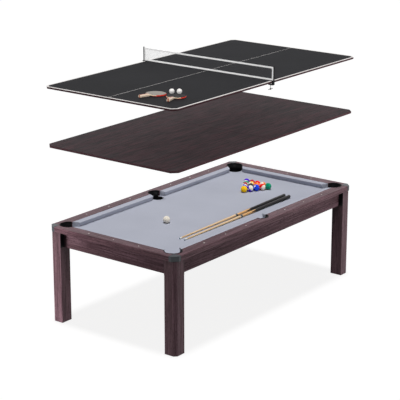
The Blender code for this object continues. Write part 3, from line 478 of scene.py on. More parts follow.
def pocket(node_name, x, y, heading, rim, cup, lean, mouth):
    """A pocket as a wall and its lip. The wall is a turned shape in polar form, whose radius and
    centre ease from the rim's to the cup's between the rails' tops and the knee. Above the cloth
    it stops at the angle where it is mouth in from the rim's centre, whose cosine is (shift -
    mouth) over the radius."""
    heights = np.concatenate([np.linspace(rail_top + WALL_TOP, KNEE, 13),
                              [CLOTH_LINE, THROAT_HEIGHT], SLOT_HEIGHTS, FLOOR_HEIGHTS])
    ease = np.clip((rail_top - heights) / (rail_top - KNEE), 0, 1)
    ease = ease ** 2 * (3 - 2 * ease)
    sink = np.clip((KNEE - heights) / (KNEE - BASKET_BOTTOM), 0, 1)
    radius = rim + (cup - rim) * ease - BASKET_TAPER * sink
    radius[-5:] -= FLOOR_INSETS
    radius[-1] = 0
    shift = lean * ease
    cloth_row = int(np.argmin(np.abs(heights - CLOTH_LINE)))
    limit = np.arccos(np.clip((shift - mouth) / np.maximum(radius, 0.001), -1, 1))
    edge = limit[cloth_row]
    # The wall's upright lines: all round, and at the edges of the mouth and of the slots.
    slot_middles = (np.arange(8) + 0.5) * SLOT_PITCH - pi
    lines = np.concatenate([np.linspace(-pi, pi, 73)[:-1], [-edge, edge],
                            slot_middles - SLOT_HALF, slot_middles + SLOT_HALF])
    angle = np.unique(np.round(lines, 5))
    angle = angle[np.concatenate([[True], np.diff(angle) > 0.004])]
    for stop in (edge, -edge):
        angle[np.argmin(np.abs(angle - stop))] = stop
    stretch = np.where(np.arange(len(heights)) < cloth_row, limit / edge, 1)
    turned = np.where(np.abs(angle) <= edge + 1e-4, angle * stretch[:, None], angle)
    wall = points_of(radius[:, None] * np.cos(turned) - shift[:, None],
                     radius[:, None] * np.sin(turned), heights[:, None])
    middle = (angle + np.append(angle[1:], pi)) / 2
    slotted = np.abs(middle % SLOT_PITCH - SLOT_PITCH / 2) < SLOT_HALF
    slot_rows = (heights[:-1] <= SLOT_HEIGHTS[0] + 1e-6) & (heights[:-1] > SLOT_HEIGHTS[1] + 1e-6)
    keep = (np.arange(len(heights) - 1)[:, None] >= cloth_row) | (np.abs(middle) < edge)
    keep &= ~(slot_rows[:, None] & slotted)
    place = Matrix.Translation((x, y, 0)) @ Matrix.Rotation(heading, 4, "Z")
    shell = grid_piece("moulded_" + node_name, moved(wall, place), polypropylene, "table",
                       node_name, keep=keep, crease=50)
    if min(shell.data.polygons, key=lambda face: face.center.z).normal.z > 0:
        shell.data.flip_normals()
    thickness = shell.modifiers.new("wall", "SOLIDIFY")
    thickness.thickness = POCKET_WALL
    thickness.offset = -1
    thickness.use_even_offset = True

    inner, outer, under = rim - POCKET_WALL, rim + LIP_REACH, rim - LIP_FIT
    top, seat, foot = [rail_top + rise for rise in LIP_RISE]
    lip = softened(((inner, foot), (inner, top), (outer, top), (outer, seat), (under, seat),
                    (under, foot)), LIP_ROUNDS, 5)
    sweep = np.linspace(-1, 1, LIP_STEPS)[:, None] * limit[0]
    ring = points_of(lip[:, 0] * np.cos(sweep), lip[:, 0] * np.sin(sweep), lip[:, 1])
    ends = ring[[0, -1]].mean(axis=1, keepdims=True) * np.ones((2, len(lip), 1))
    grid_piece("lip_of_" + node_name, moved(np.concatenate([ends[:1], ring, ends[1:]]), place),
               polypropylene, "table", crease=50)


for corner, (x_sign, y_sign) in CORNERS.items():
    inset, *shape = CORNER_POCKET
    pocket("pocket_" + corner, x_sign * (half_length - inset), y_sign * (half_width - inset),
           atan2(y_sign, x_sign), *shape)
for side, sign in (("near", -1), ("far", 1)):
    inset, *shape = SIDE_POCKET
    pocket("pocket_" + side, 0, sign * (half_width - inset), sign * pi / 2, *shape)

# Racked balls and cue ball
# Fifteen balls of cast phenolic resin and a white cue ball, 57.2 mm across, ground and polished
# to a mirror. Seven are one colour, seven are white with a coloured band, and one is black.

BALL_RADIUS = 0.0286
BALL_PITCH = 0.0568
RACK_APEX = (0.5832, 0.0448)
CUE_BALL = (-0.48989, 0.02816)
BALL_HEIGHT = 0.7839
# A racked ball's radius is this much smaller, so that the balls no more than touch.
BALL_GAP = 0.0002
YELLOW, BLUE, RED, PURPLE = "#ffc800", "#0a41e0", "#f01408", "#4c14cc"
ORANGE, GREEN, MAROON, BLACK = "#ff7a12", "#00926c", "#b8163c", "#141416"
# Directions in the camera's view: to its right, up, and towards it.
WAYS = np.array([[0.61, -0.792, 0], [0.23, 0.177, 0.957], [-0.758, -0.584, 0.29]])
# By row from the tip of the triangle: colour, band (1) or plain (0), and where its white pole,
# or its number's white field, points in the view.
RACK = (((YELLOW, 0, (1, -0.2, -0.2)),),
        ((PURPLE, 1, (0.60, 0.35, 0.70)), (BLUE, 1, (-0.6, -0.8, 0.2))),
        ((BLUE, 0, (-0.45, 0.42, 0.78)), (BLACK, 0, (1, 0, -0.2)),
         (MAROON, 1, (-0.9, -0.3, 0.3))),
        ((RED, 1, (0.62, -0.42, 0.62)), (ORANGE, 0, (1, 0, -0.2)),
         (YELLOW, 1, (0.95, -0.25, -0.2)), (GREEN, 1, (0.2, -0.9, 0.3))),
        ((GREEN, 0, (1, 0.1, -0.3)), (ORANGE, 1, (-0.75, 0.45, 0.45)), (RED, 0, (1, 0, -0.2)),
         (MAROON, 0, (1, 0, -0.2)), (PURPLE, 0, (0.2, 0.1, -1))))
# As shares of a ball's radius: where the white of a banded ball starts, the edge of the white
# field for the number, about 17 mm across, at a plain ball's poles and on a banded ball's band,
# where the latter is full, and half the width of the change from colour to white.
BAND_EDGE = 0.50
FIELD_EDGE = 0.955
FIELD_FULL = 0.963
WHITE_FADE = 0.006

resin = finish("polished_phenolic_resin")
resin_place, resin_spot = spot(resin, "ball_place")
resin_band = node(resin, "Attribute", output="Fac", attribute_name="ball_band")
resin_tint = node(resin, "Attribute", output="Color", attribute_name="ball_colour")
resin_up = node(resin, "Math", {0: resin_spot["Z"]}, operation="ABSOLUTE")
resin_edge = node(resin, "MapRange", {
    "Value": resin_band, "To Min": FIELD_EDGE, "To Max": BAND_EDGE})
resin_over = node(resin, "Math", {0: resin_up, 1: resin_edge}, operation="SUBTRACT")
resin_white = node(resin, "MapRange", {
    "Value": resin_over, "From Min": -WHITE_FADE, "From Max": WHITE_FADE})
resin_side = node(resin, "Math", {0: resin_spot["X"]}, operation="ABSOLUTE")
resin_field = node(resin, "MapRange", {
    "Value": resin_side, "From Min": FIELD_EDGE, "From Max": FIELD_FULL})
resin_number = node(resin, "Math", {0: resin_field, 1: resin_band}, operation="MULTIPLY")
resin_pale = node(resin, "Math", {0: resin_white, 1: resin_number}, operation="MAXIMUM")
resin_haze = node(resin, "TexNoise", {"Vector": resin_place, "Scale": 6.0, "Detail": 2.0})
surface(resin, layered(resin, resin_tint, (resin_pale, None, "#efe9da")),
        {"IOR": 1.6, "Specular IOR Level": 0.18}, (resin_haze, 0.08, 0.16))


def balls(name, centres, looks, radius, material, body, stands_for):
    """Spheres in polar form, each point being the centre plus the radius times its direction.
    Each has a look: colour, band and pole. Its points keep their directions, turned so that the
    pole is up, for the material to draw by."""
    colours, bands, poles = zip(*looks)
    lift, round_it = np.meshgrid(np.linspace(0, pi, 25), np.linspace(0, 2 * pi, 49)[:-1],
                                 indexing="ij")
    way = points_of(np.sin(lift) * np.cos(round_it), np.sin(lift) * np.sin(round_it),
                    np.cos(lift))
    points = np.array(centres)[:, None, None, :] + radius * way
    lies = np.array([np.array(Vector(pole).rotation_difference(Vector((0, 0, 1))).to_matrix())
                     for pole in poles])
    lain = np.einsum("nij,rcj->nrci", lies, way)
    flat = way.shape[0] * way.shape[1]
    grid_piece(name, points, material, body, stands_for, crease=180, values={
        "ball_place": ("FLOAT_VECTOR", "vector", lain),
        "ball_band": ("FLOAT", "value", np.repeat(bands, flat)),
        "ball_colour": ("FLOAT_COLOR", "color",
                        np.repeat([linear(colour) for colour in colours], flat, axis=0))})


racked = [(RACK_APEX[0] + row * BALL_PITCH * cos(pi / 6),
           RACK_APEX[1] + (seat - row / 2) * BALL_PITCH, BALL_HEIGHT)
          for row, line in enumerate(RACK) for seat in range(len(line))]
rack_looks = [(colour, band, pole @ WAYS) for line in RACK for colour, band, pole in line]
balls("pool_balls", racked, rack_looks, BALL_RADIUS - BALL_GAP, resin, "rack",
      "racked_balls")
ivory = mottled("polished_ivory_resin", "#e6ddcb", "#f0e9db", 0.02, 2.0, {"IOR": 1.6},
                gloss=(0.08, 0.15))
balls("white_cue_ball", [(*CUE_BALL, BALL_HEIGHT)], [("#efe9da", 0, (0, 0, 1))], BALL_RADIUS,
      ivory, "white_ball", "cue_ball")

# Cues
# Two two-piece cues. The shaft is turned maple with a white ferrule and a leather tip, and screws
# on a pin into the butt, whose amber maple forearm runs in four points into black lacquer.

CUE_TIP_X = -0.752085
CUE_LINES = {1: -0.308992, 2: -0.35904}
CLOTH_TOP = 0.7553
CUE_SHAFT = 0.739
CUE_END = 1.430
# At the ferrule, the joint and the bumper.
CUE_RADII = (0.0060, 0.0105, 0.0150)
FERRULE_END = 0.030
JOINT_GAP = 0.0003
FOREARM_END = 0.900
POINT_LENGTH = 0.070
COLLAR_END = CUE_SHAFT + 0.012
# From the tip: leather, ferrule, a ring, the joint's collar, a ring, and the bumper.
CUE_BANDS = ((-1.0, 0.006, "#8fa0ae"), (0.006, FERRULE_END, "#ece8de"),
             (CUE_SHAFT - 0.012, CUE_SHAFT - 0.008, "#c9c6bf"),
             (CUE_SHAFT - 0.008, COLLAR_END, "#1d1c1d"),
             (COLLAR_END, COLLAR_END + 0.004, "#c9c6bf"), (CUE_END - 0.016, 2.0, "#101011"))

# The place that it is drawn by holds the direction out from the axis, and the way from the tip.
cue_wood = finish("turned_maple_and_lacquer")
cue_place, cue_spot = spot(cue_wood, "cue_place")
cue_grain = drawn_out(cue_wood, cue_place, (2 / 3, 2 / 3, 0.25), {"Detail": 2.0})
cue_figure = node(cue_wood, "MapRange", {"Value": cue_grain, "From Min": 0.3, "From Max": 0.7})
maple = layered(cue_wood, "#d8b488", (cue_figure, None, "#e8cda4"))
amber = layered(cue_wood, "#c99457", (cue_figure, None, "#e2b67e"))
# Around the butt, a sine of four times the angle moves the edge of the black along it.
cue_angle = node(cue_wood, "Math", {0: cue_spot["Y"], 1: cue_spot["X"]}, operation="ARCTAN2")
cue_four = node(cue_wood, "Math", {0: cue_angle, 1: 4.0}, operation="MULTIPLY")
cue_wave = node(cue_wood, "Math", {0: cue_four}, operation="SINE")
cue_points = node(cue_wood, "Math", {
    0: cue_wave, 1: POINT_LENGTH / 2, 2: FOREARM_END}, operation="MULTIPLY_ADD")
cue_colour = maple
for start, beyond in ((COLLAR_END, amber), (cue_points, "#1b191a")):
    past = node(cue_wood, "Math", {0: cue_spot["Z"], 1: start}, operation="GREATER_THAN")
    cue_colour = layered(cue_wood, cue_colour, (past, None, beyond))
for start, stop, band in CUE_BANDS:
    after = node(cue_wood, "Math", {0: cue_spot["Z"], 1: start}, operation="GREATER_THAN")
    before = node(cue_wood, "Math", {0: cue_spot["Z"], 1: stop}, operation="LESS_THAN")
    within = node(cue_wood, "Math", {0: after, 1: before}, operation="MULTIPLY")
    cue_colour = layered(cue_wood, cue_colour, (within, None, band))
surface(cue_wood, cue_colour, {
    "IOR": 1.5, "Specular IOR Level": 0.2, "Coat Weight": 0.05, "Coat Roughness": 0.2},
    (cue_grain, 0.30, 0.38))

cue_tilt = atan2(CUE_RADII[2] - CUE_RADII[0], CUE_END)
turn = np.linspace(0, 2 * pi, 33)[:-1]


def cue_half(number, half, profile):
    """Half a cue: (distance from the tip, radius) points turned about its axis, 32 to a turn."""
    along, radius = np.array(profile)[:, :, None].transpose(1, 0, 2)
    lying = (Matrix.Translation((CUE_TIP_X, CUE_LINES[number],
                                 CLOTH_TOP + CUE_RADII[0] / cos(cue_tilt)))
             @ Matrix.Rotation(pi / 2 - cue_tilt, 4, "Y"))
    grid_piece(f"cue_{number}_turned_{half}",
               moved(points_of(radius * np.cos(turn), radius * np.sin(turn), along), lying),
               cue_wood, f"cue_{'ab'[number - 1]}", f"cue_{number}_{half}",
               values={"cue_place": ("FLOAT_VECTOR", "vector",
                                     points_of(np.cos(turn), np.sin(turn), along))})


# The shaft tapers on a gentle curve, thinnest behind the ferrule; the butt swells evenly.
shaft_end = CUE_SHAFT - JOINT_GAP
shaft_along = np.linspace(FERRULE_END, shaft_end, 24)
shaft_share = (shaft_along - FERRULE_END) / (CUE_SHAFT - FERRULE_END)
shaft_radius = CUE_RADII[0] + (CUE_RADII[1] - CUE_RADII[0]) * shaft_share ** 1.25
shaft_profile = [(0, 0), (0.0001, 0.0030), (0.0008, 0.0048), (0.0022, 0.0058), (0.0055, 0.0060),
                 (0.0062, 0.0060), *zip(shaft_along, shaft_radius),
                 (shaft_end, 0.0040), (shaft_end, 0)]
butt_along = np.linspace(CUE_SHAFT, CUE_END - 0.012, 20)
butt_share = (butt_along - CUE_SHAFT) / (CUE_END - CUE_SHAFT)
butt_radius = CUE_RADII[1] + (CUE_RADII[2] - CUE_RADII[1]) * np.minimum(butt_share * 1.01, 1)
butt_profile = [(CUE_SHAFT, 0), (CUE_SHAFT, 0.0098), *zip(butt_along, butt_radius),
                (CUE_END - 0.005, 0.0148), (CUE_END - 0.0015, 0.0132), (CUE_END, 0.0100),
                (CUE_END, 0)]
for number in CUE_LINES:
    cue_half(number, "shaft", shaft_profile)
    cue_half(number, "butt", butt_profile)

# Dining top
# Two boards faced with dark stained veneer, its grain along the table, and edged with a browner
# band that is drawn paler than the face, so it is also a painted highlight along the edges. Beech
# dowels line up the seam, and black rubber pads below keep the board off the rails.

PADS_BELOW = 0.0182

dining_low, dining_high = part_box("dining_top_left")
veneer = finish("dark_stained_veneer")
leaf = figure(veneer, "X", 0.110, 1.1, 2, 0.40, 0.62)[1]
veneer_grain, streak = figure(veneer, "X", 0.011, 0.35, 4, 0.40, 0.66)
line = figure(veneer, "X", 0.004, 0.16, 3, 0.40, 0.52)[1]
veneer_facing = node(veneer, "SeparateXYZ", {
    "Vector": node(veneer, "NewGeometry", output="Normal")}, output="Z")
veneer_flat = node(veneer, "Math", {0: veneer_facing}, operation="ABSOLUTE")
# The side faces take the browner edge band, drawn paler so that it is also a painted highlight.
edge_band_and_highlight = node(veneer, "MapRange", {"Value": veneer_flat, "From Min": 0.5, "From Max": 0.3})
veneer_pad = node(veneer, "Math", {
    0: spot(veneer)[1]["Z"], 1: dining_high.z - PADS_BELOW}, operation="LESS_THAN")
veneer_colour = layered(veneer, "#252325", (leaf, None, "#332d2f"), (streak, None, "#4a3136"),
                        (line, "#1a1819", None), (edge_band_and_highlight, None, "#573c41"),
                        (veneer_pad, None, "#1a1a1b"))
surface(veneer, veneer_colour, {"IOR": 1.5, "Specular IOR Level": 0.10},
        (veneer_grain, 0.62, 0.74), (line, 0.12, 0.0002))
dress(["dining_top_left", "dining_top_right"], veneer)

# Table tennis top
# Two boards sprayed matt black on top, with a white line 15 mm wide printed round the edge and a
# 3 mm line along the middle. The edges and the underside are the stained brown of the table.

LINE_WIDTH = 0.015
CENTRE_LINE = 0.003
TENNIS_CLIP = 0.036

paint = finish("matt_sprayed_board")
paint_place, paint_spot = spot(paint)
paint_x = node(paint, "Math", {0: paint_spot["X"]}, operation="ABSOLUTE")
paint_y = node(paint, "Math", {0: paint_spot["Y"]}, operation="ABSOLUTE")
paint_both = node(paint, "Math", {0: paint_x, 1: paint_y}, operation="ADD")
paint_line = node(paint, "Math", {0: paint_y, 1: CENTRE_LINE / 2}, operation="LESS_THAN")
clip_edge = half_length + half_width - TENNIS_CLIP - LINE_WIDTH * sqrt(2)
for measure, edge in ((paint_x, half_length - LINE_WIDTH), (paint_y, half_width - LINE_WIDTH),
                      (paint_both, clip_edge)):
    beyond = node(paint, "Math", {0: measure, 1: edge}, operation="GREATER_THAN")
    paint_line = node(paint, "Math", {0: paint_line, 1: beyond}, operation="MAXIMUM")
# The sprayed film has a faint orange peel, drawn 6 mm across, and a slow cloudiness.
paint_peel = node(paint, "TexNoise", {"Vector": paint_place, "Scale": 1 / 0.006, "Detail": 2.0})
paint_cloud = node(paint, "TexNoise", {"Vector": paint_place, "Scale": 1 / 0.3, "Detail": 3.0})
paint_facing = node(paint, "SeparateXYZ", {
    "Vector": node(paint, "NewGeometry", output="Normal")}, output="Z")
paint_up = node(paint, "MapRange", {"Value": paint_facing, "From Min": 0.3, "From Max": 0.6})
paint_colour = layered(paint, "#141416", (paint_cloud, None, "#1d1d20"),
                       (paint_line, None, "#e4e0de"), (paint_up, "#4c3136", None))
surface(paint, paint_colour, {"IOR": 1.5, "Specular IOR Level": 0.09},
        (paint_peel, 0.70, 0.82), (paint_peel, 0.08, 0.0002))
dress(["tennis_top_left", "tennis_top_right"], paint)

# Net
# A net of black nylon cord, knotted in 12 mm squares, inside a frame of folded white cotton tape
# that is sewn round all four edges and drawn tight between the posts.

TAPE_WIDTH = 0.013
TAPE_THICKNESS = 0.003
TAPE_ROUND = 0.0013
CORD_RADIUS = 0.0005
CORD_WEAVE = 0.0004
SQUARES = (106, 7)

cotton_tape = mottled("woven_cotton_tape", "#e0dfde", "#f3f3f3", 0.0015, 2.0, {
    "Roughness": 0.9, "IOR": 1.45, "Sheen Weight": 0.1, "Sheen Roughness": 0.5},
    relief=(0.3, 0.0003))
tape_low, tape_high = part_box("net_tape")
# The tape's rounded section, as insets from the outline and depths, is carried round a rectangle.
half_tape = TAPE_THICKNESS / 2
fold_in, fold_deep = softened(((0, -half_tape), (TAPE_WIDTH, -half_tape), (TAPE_WIDTH, half_tape),
                               (0, half_tape)), (TAPE_ROUND,) * 4, 5).T[:, :, None]
stops = np.linspace(0, 1, 33)[:-1]
full = np.ones(32)
side_y = np.concatenate([2 * stops - 1, full, 1 - 2 * stops, -full])
side_z = np.concatenate([-full, 2 * stops - 1, full, 1 - 2 * stops])
tape_points = points_of(fold_deep, side_y * (tape_high.y - fold_in),
                        (tape_low.z + tape_high.z) / 2
                        + side_z * ((tape_high.z - tape_low.z) / 2 - fold_in))
tape = grid_piece("sewn_net_tape", tape_points, cotton_tape, "tennis_left",
                  "net_tape", wrap=(True, True), crease=60)


def strands(starts, run, rise, crossed):
    """Cords from each start along run, five-sided, which pass from one side of the net to the
    other and back on a sine of the distance, past each cord they cross, so that the sets weave."""
    t = np.linspace(0, 1, 2 * crossed + 1)[:, None]
    corner = np.linspace(0, 2 * pi, 6)[:-1, None]
    through = np.array([1, 0, 0])
    side = np.cross(run / np.linalg.norm(run), through)
    centre = (np.array(starts)[:, None, :] + t * run
              + rise * np.sin(crossed * pi * t) * through)
    ring = CORD_RADIUS * (np.cos(corner) * through + np.sin(corner) * side)
    return centre[:, :, None, :] + ring


net_cord = mottled("knotted_nylon_cord", "#17171a", "#2b2b2f", 0.001, 1.0,
                   {"Roughness": 0.7, "IOR": 1.53})
net_low, net_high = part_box("net_mesh")
columns, rows = SQUARES
net_span = net_high - net_low
level = [(0, net_low.y, net_low.z + net_span.z * (row + 0.5) / rows) for row in range(rows)]
upright = [(0, net_low.y + net_span.y * (column + 0.5) / columns, net_low.z)
           for column in range(columns)]
for name, starts, run, rise, crossed, stands_for in (
        ("level", level, (0, net_span.y, 0), CORD_WEAVE, columns, "net_mesh"),
        ("upright", upright, (0, 0, net_span.z), -CORD_WEAVE, rows, None)):
    grid_piece("net_cords_" + name, strands(starts, np.array(run), rise, crossed), net_cord,
               "tennis_left", stands_for)

# Net clamps, screws and pads
# Each clamp is bent steel plate with a post welded on, powder coated black. A zinc plated screw
# with a T-shaped black grip pushes a rubber pad up against the underside of the top.

GRIP_BELOW = 0.0398
THREAD_PITCH = 0.00125

powder_coat = mottled("powder_coated_steel", "#1a1a1b", "#262628", 0.0012, 1.0, {
    "Roughness": 0.6, "IOR": 1.5, "Specular IOR Level": 0.1}, relief=(0.3, 0.0002))
dress(["net_clamp_near", "net_clamp_far"], powder_coat)

zinc = finish("zinc_plated_screw")
screw_place, screw_spot = spot(zinc)
screw_grip = node(zinc, "Math", {
    0: screw_spot["Z"], 1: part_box("net_screw_near")[1].z - GRIP_BELOW}, operation="LESS_THAN")
zinc_cloud = node(zinc, "TexNoise", {"Vector": screw_place, "Scale": 1 / 0.004, "Detail": 2.0})
zinc_colour = layered(zinc, "#b4b5b4", (zinc_cloud, None, "#cfcfcc"),
                      (screw_grip, None, "#1c1c1d"))
screw_metal = node(zinc, "Math", {0: 1.0, 1: screw_grip}, operation="SUBTRACT")
# The thread's ridges are drawn 2 pi times as far apart as they are cut, 8 mm.
screw_ridges = node(zinc, "TexWave", {
    "Vector": screw_place, "Scale": 1 / THREAD_PITCH / WAVE_RATE}, output="Fac",
    bands_direction="Z")
surface(zinc, zinc_colour, {"Metallic": screw_metal, "Roughness": 0.35},
        relief=(screw_ridges, 0.5, 0.0004))
dress(["net_screw_near", "net_screw_far"], zinc)

dress(["net_presser_near", "net_presser_far"],
      mottled("moulded_rubber", "#1b1b1c", "#29292a", 0.003, 2.0,
              {"Roughness": 0.85, "IOR": 1.52}))

# Paddles
# Five-ply poplar blades with smooth rubber glued to both faces, black above and red below, a red
# tape round the far edge, and pale handle scales with a redder strip let in along the middle.

BLADE_LENGTH, BLADE_WIDTH, BLADE_THICKNESS = 0.157, 0.150, 0.006
BLADE_ROUND = 0.0008
RUBBER_THICKNESS = 0.002
RUBBER_INSET = 0.0015
RUBBER_ROUND = 0.0006
HANDLE_LENGTH, HANDLE_WIDTH, HANDLE_FLARE = 0.100, 0.025, 0.029
SCALE_THICKNESS = 0.008
SCALE_EDGE = 0.001
SCALE_POWER = 2.8
TAPE_START = -0.050
INLAY_HALF = 0.0062
FIT = 0.0003
PADDLES = {1: (-0.925101, -0.231936, -8), 2: (-0.900072, -0.402048, 18)}

blade_ply = finish("poplar_plywood")
ply_place, ply_spot = spot(blade_ply, "paddle_place")
ply_grain = drawn_out(blade_ply, ply_place, (0.05, 0.002, 0.0012), {"Detail": 3.0})
ply_taped = node(blade_ply, "Math", {0: ply_spot["X"], 1: TAPE_START}, operation="GREATER_THAN")
surface(blade_ply, layered(blade_ply, "#c5ab88", (ply_grain, None, "#e6d6bb"),
                           (ply_taped, None, "#d8311d")), {"Roughness": 0.5, "IOR": 1.5})

grip_wood = finish("inlaid_handle_wood")
grip_place, grip_spot = spot(grip_wood, "paddle_place")
grip_grain = drawn_out(grip_wood, grip_place, (0.04, 0.0015, 0.0015), {"Detail": 3.0})
grip_pale = layered(grip_wood, "#cdb299", (grip_grain, None, "#e9d9c6"))
grip_red = layered(grip_wood, "#8f4a39", (grip_grain, None, "#b56a52"))
grip_across = node(grip_wood, "Math", {0: grip_spot["Y"]}, operation="ABSOLUTE")
grip_inlay = node(grip_wood, "Math", {0: grip_across, 1: INLAY_HALF}, operation="LESS_THAN")
surface(grip_wood, layered(grip_wood, grip_pale, (grip_inlay, None, grip_red)), {
    "Roughness": 0.4, "IOR": 1.5, "Coat Weight": 0.2, "Coat Roughness": 0.2})

# Smooth sheet rubber: even, tacky and slightly dusty, so its shine is broad and uneven. The first
# paddle's black rubber is painted pale grey, a painted reflection of the white surroundings on its
# face.
painted_sheen_rubber, black_rubber, red_rubber = [
    mottled(name + "_sheet_rubber", dark, light, 0.02, 4.0,
            {"IOR": 1.52, "Specular IOR Level": 0.06}, gloss=(rough - 0.06, rough + 0.06))
    for name, dark, light, rough in (("painted_sheen", "#827d77", "#97918a", 0.5),
                                     ("black", "#171617", "#211f20", 0.6),
                                     ("red", "#c8260f", "#e63a1c", 0.45))]

blade_angle = np.unique(np.concatenate([
    np.linspace(-pi, pi, 121)[:-1], np.linspace(pi - 0.35, pi, 41)[:-1],
    np.linspace(-pi, -pi + 0.35, 41)]))
blade_cos, blade_sin = np.cos(blade_angle), np.sin(blade_angle)
blade_reach = BLADE_LENGTH / 2
half_blade = BLADE_THICKNESS / 2
half_strip = HANDLE_WIDTH / 2
handle_end = blade_reach + HANDLE_LENGTH - half_strip
scale_start = blade_reach - half_strip
blade_ellipse = 1 / np.sqrt((blade_cos / blade_reach) ** 2 + (blade_sin / (BLADE_WIDTH / 2)) ** 2)


def up_to(distance, elsewhere):
    """The radius at which each angle meets a line across the handle: distance over its cosine."""
    return np.where(blade_cos < 0, distance / np.maximum(-blade_cos, 1e-6), elsewhere)


# The blade is an ellipse joined to the handle's strip; a power sum fillets the shoulders.
strip = np.minimum(half_strip / np.maximum(np.abs(blade_sin), 1e-6), up_to(handle_end, 0))
blade_rim = np.minimum((blade_ellipse ** 16 + strip ** 16) ** (1 / 16), up_to(handle_end, 1))
rubber_rim = np.minimum(blade_ellipse - RUBBER_INSET, up_to(scale_start - FIT, 1))


def slab(rim, low, high, round_off):
    """A flat shape from its rim in polar form: rows run from the middle of the lower face, out
    to the rim, up its rounded edge and back to the middle of the upper face."""
    inset = np.array([1, 0.5, 0, 0, 0, 0, 0.5, 1])[:, None]
    trim = np.array([0, 0, 1, 0, 0, 1, 0, 0])[:, None] * round_off
    height = np.array([low, low, low, low + round_off, high - round_off, high, high, high])
    reach = rim * (1 - inset) - trim
    return points_of(reach * blade_cos, reach * blade_sin, height[:, None])


def grip():
    """The two handle scales: a rounded oblong section, |y/a| and |z/b| to one power adding up to
    1, swept from the blade to the flared end, thin where it starts on the blade."""
    share = np.array([0, 0, 0.02, 0.05, 0.09, 0.14, 0.2, 0.35, 0.5, 0.65, 0.8, 0.9, 0.97, 1, 1])
    x = -scale_start - share * (handle_end - scale_start)
    wide = half_strip + (HANDLE_FLARE - HANDLE_WIDTH) / 2 * share ** 2
    tall = (half_blade + SCALE_EDGE
            + (SCALE_THICKNESS - SCALE_EDGE) * np.clip(share / 0.16, 0, 1) ** 0.6)
    wide[[0, -1]] = tall[[0, -1]] = 0
    wide[-2] -= SCALE_EDGE
    tall[-2] -= SCALE_EDGE
    round_it = np.linspace(0, 2 * pi, 41)[:-1]
    across, up = [np.sign(way) * np.abs(way) ** (2 / SCALE_POWER)
                  for way in (np.cos(round_it), np.sin(round_it))]
    return points_of(x[:, None], wide[:, None] * across, tall[:, None] * up)


rubber_half = half_blade + FIT + RUBBER_THICKNESS
paddle_tilt = atan2(half_blade + SCALE_THICKNESS - rubber_half, blade_reach + scale_start)
paddle_rise = rubber_half * cos(paddle_tilt) + blade_reach * sin(paddle_tilt)
tennis_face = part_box("tennis_top_left")[1].z
for number, (x, y, heading) in PADDLES.items():
    lying = (Matrix.Translation((x, y, tennis_face + FIT + paddle_rise))
             @ Matrix.Rotation(radians(heading), 4, "Z") @ Matrix.Rotation(paddle_tilt, 4, "Y"))
    for part, shape, material, slot, ending in (
            ("blade", slab(blade_rim, -half_blade, half_blade, BLADE_ROUND),
             blade_ply, "paddle_wood", ""),
            ("grip", grip(), grip_wood, "paddle_wood", None),
            # The first paddle's top rubber carries the painted reflection.
            ("top_rubber", slab(rubber_rim, half_blade + FIT, rubber_half, RUBBER_ROUND),
             painted_sheen_rubber if number == 1 else black_rubber, "paddle_rubber", "_rubber_top"),
            ("under_rubber", slab(rubber_rim, -rubber_half, -half_blade - FIT, RUBBER_ROUND),
             red_rubber, "paddle_rubber", "_rubber_bottom")):
        grid_piece(f"paddle_{number}_{part}", moved(shape, lying), material,
                   f"paddle_{'ab'[number - 1]}",
                   None if ending is None else f"paddle_{number}{ending}",
                   values={"paddle_place": ("FLOAT_VECTOR", "vector", shape)})

# Table tennis balls
# Two 40 mm balls of white celluloid, matt from the tumbling that removes the moulding marks. They
# lie loose on the table tennis top, beside the paddles.

TENNIS_BALL_RADIUS = 0.020
TENNIS_BALLS = {1: (-0.827901, -0.304), 2: (-0.79704, -0.352)}

celluloid = mottled("tumbled_celluloid", "#e0ddda", "#ebe9e6", 0.008, 2.0,
                    {"Roughness": 0.5, "IOR": 1.5})
for number, (x, y) in TENNIS_BALLS.items():
    balls(f"celluloid_ball_{number}", [(x, y, tennis_face + FIT + TENNIS_BALL_RADIUS)],
          [("#ebe9e6", 0, (0, 0, 1))], TENNIS_BALL_RADIUS, celluloid,
          f"tennis_ball_{'ab'[number - 1]}", f"tennis_ball_{number}")

# Studio
# A white sweep under soft lamps. The tops hang in the picture, so neither they nor what lies on
# them throws a shadow on the pool table; the table's own shadow lies under it.

SWEEP_HALF = 60
SWEEP_LIT = (0.33, 0.33, 0.33, 1)
SWEEP_GLOW = 0.866
SWEEP_BOUNCE = (0.15, 0.15, 0.15, 1)
WORLD_LIGHT = 0.07
RIGHT_END = 1.0
WHITE = (1, 1, 1, 1)
CAMERA_LENS = 133.8
CAMERA_PLACE = (-9.281, -7.083, 4.369)
# Degrees below level, and to the right of straight ahead along Y.
CAMERA_DOWN = 16.844
CAMERA_RIGHT = 52.382


def seen(material):
    """1 for what the camera sees, straight or by way of a mirror or glass, and 0 for the rest."""
    rays = node(material, "LightPath").node.outputs
    share = rays["Is Camera Ray"]
    for ray in ("Is Glossy Ray", "Is Transmission Ray"):
        share = node(material, "Math", {0: share, 1: rays[ray]}, operation="MAXIMUM")
    return share


floor_mesh = bpy.data.meshes.new("studio_floor")
floor_mesh.from_pydata([(-SWEEP_HALF, -SWEEP_HALF, 0), (SWEEP_HALF, -SWEEP_HALF, 0),
                        (SWEEP_HALF, SWEEP_HALF, 0), (-SWEEP_HALF, SWEEP_HALF, 0)], [],
                       [(0, 1, 2, 3)])
studio_floor = bpy.data.objects.new("studio_floor", floor_mesh)
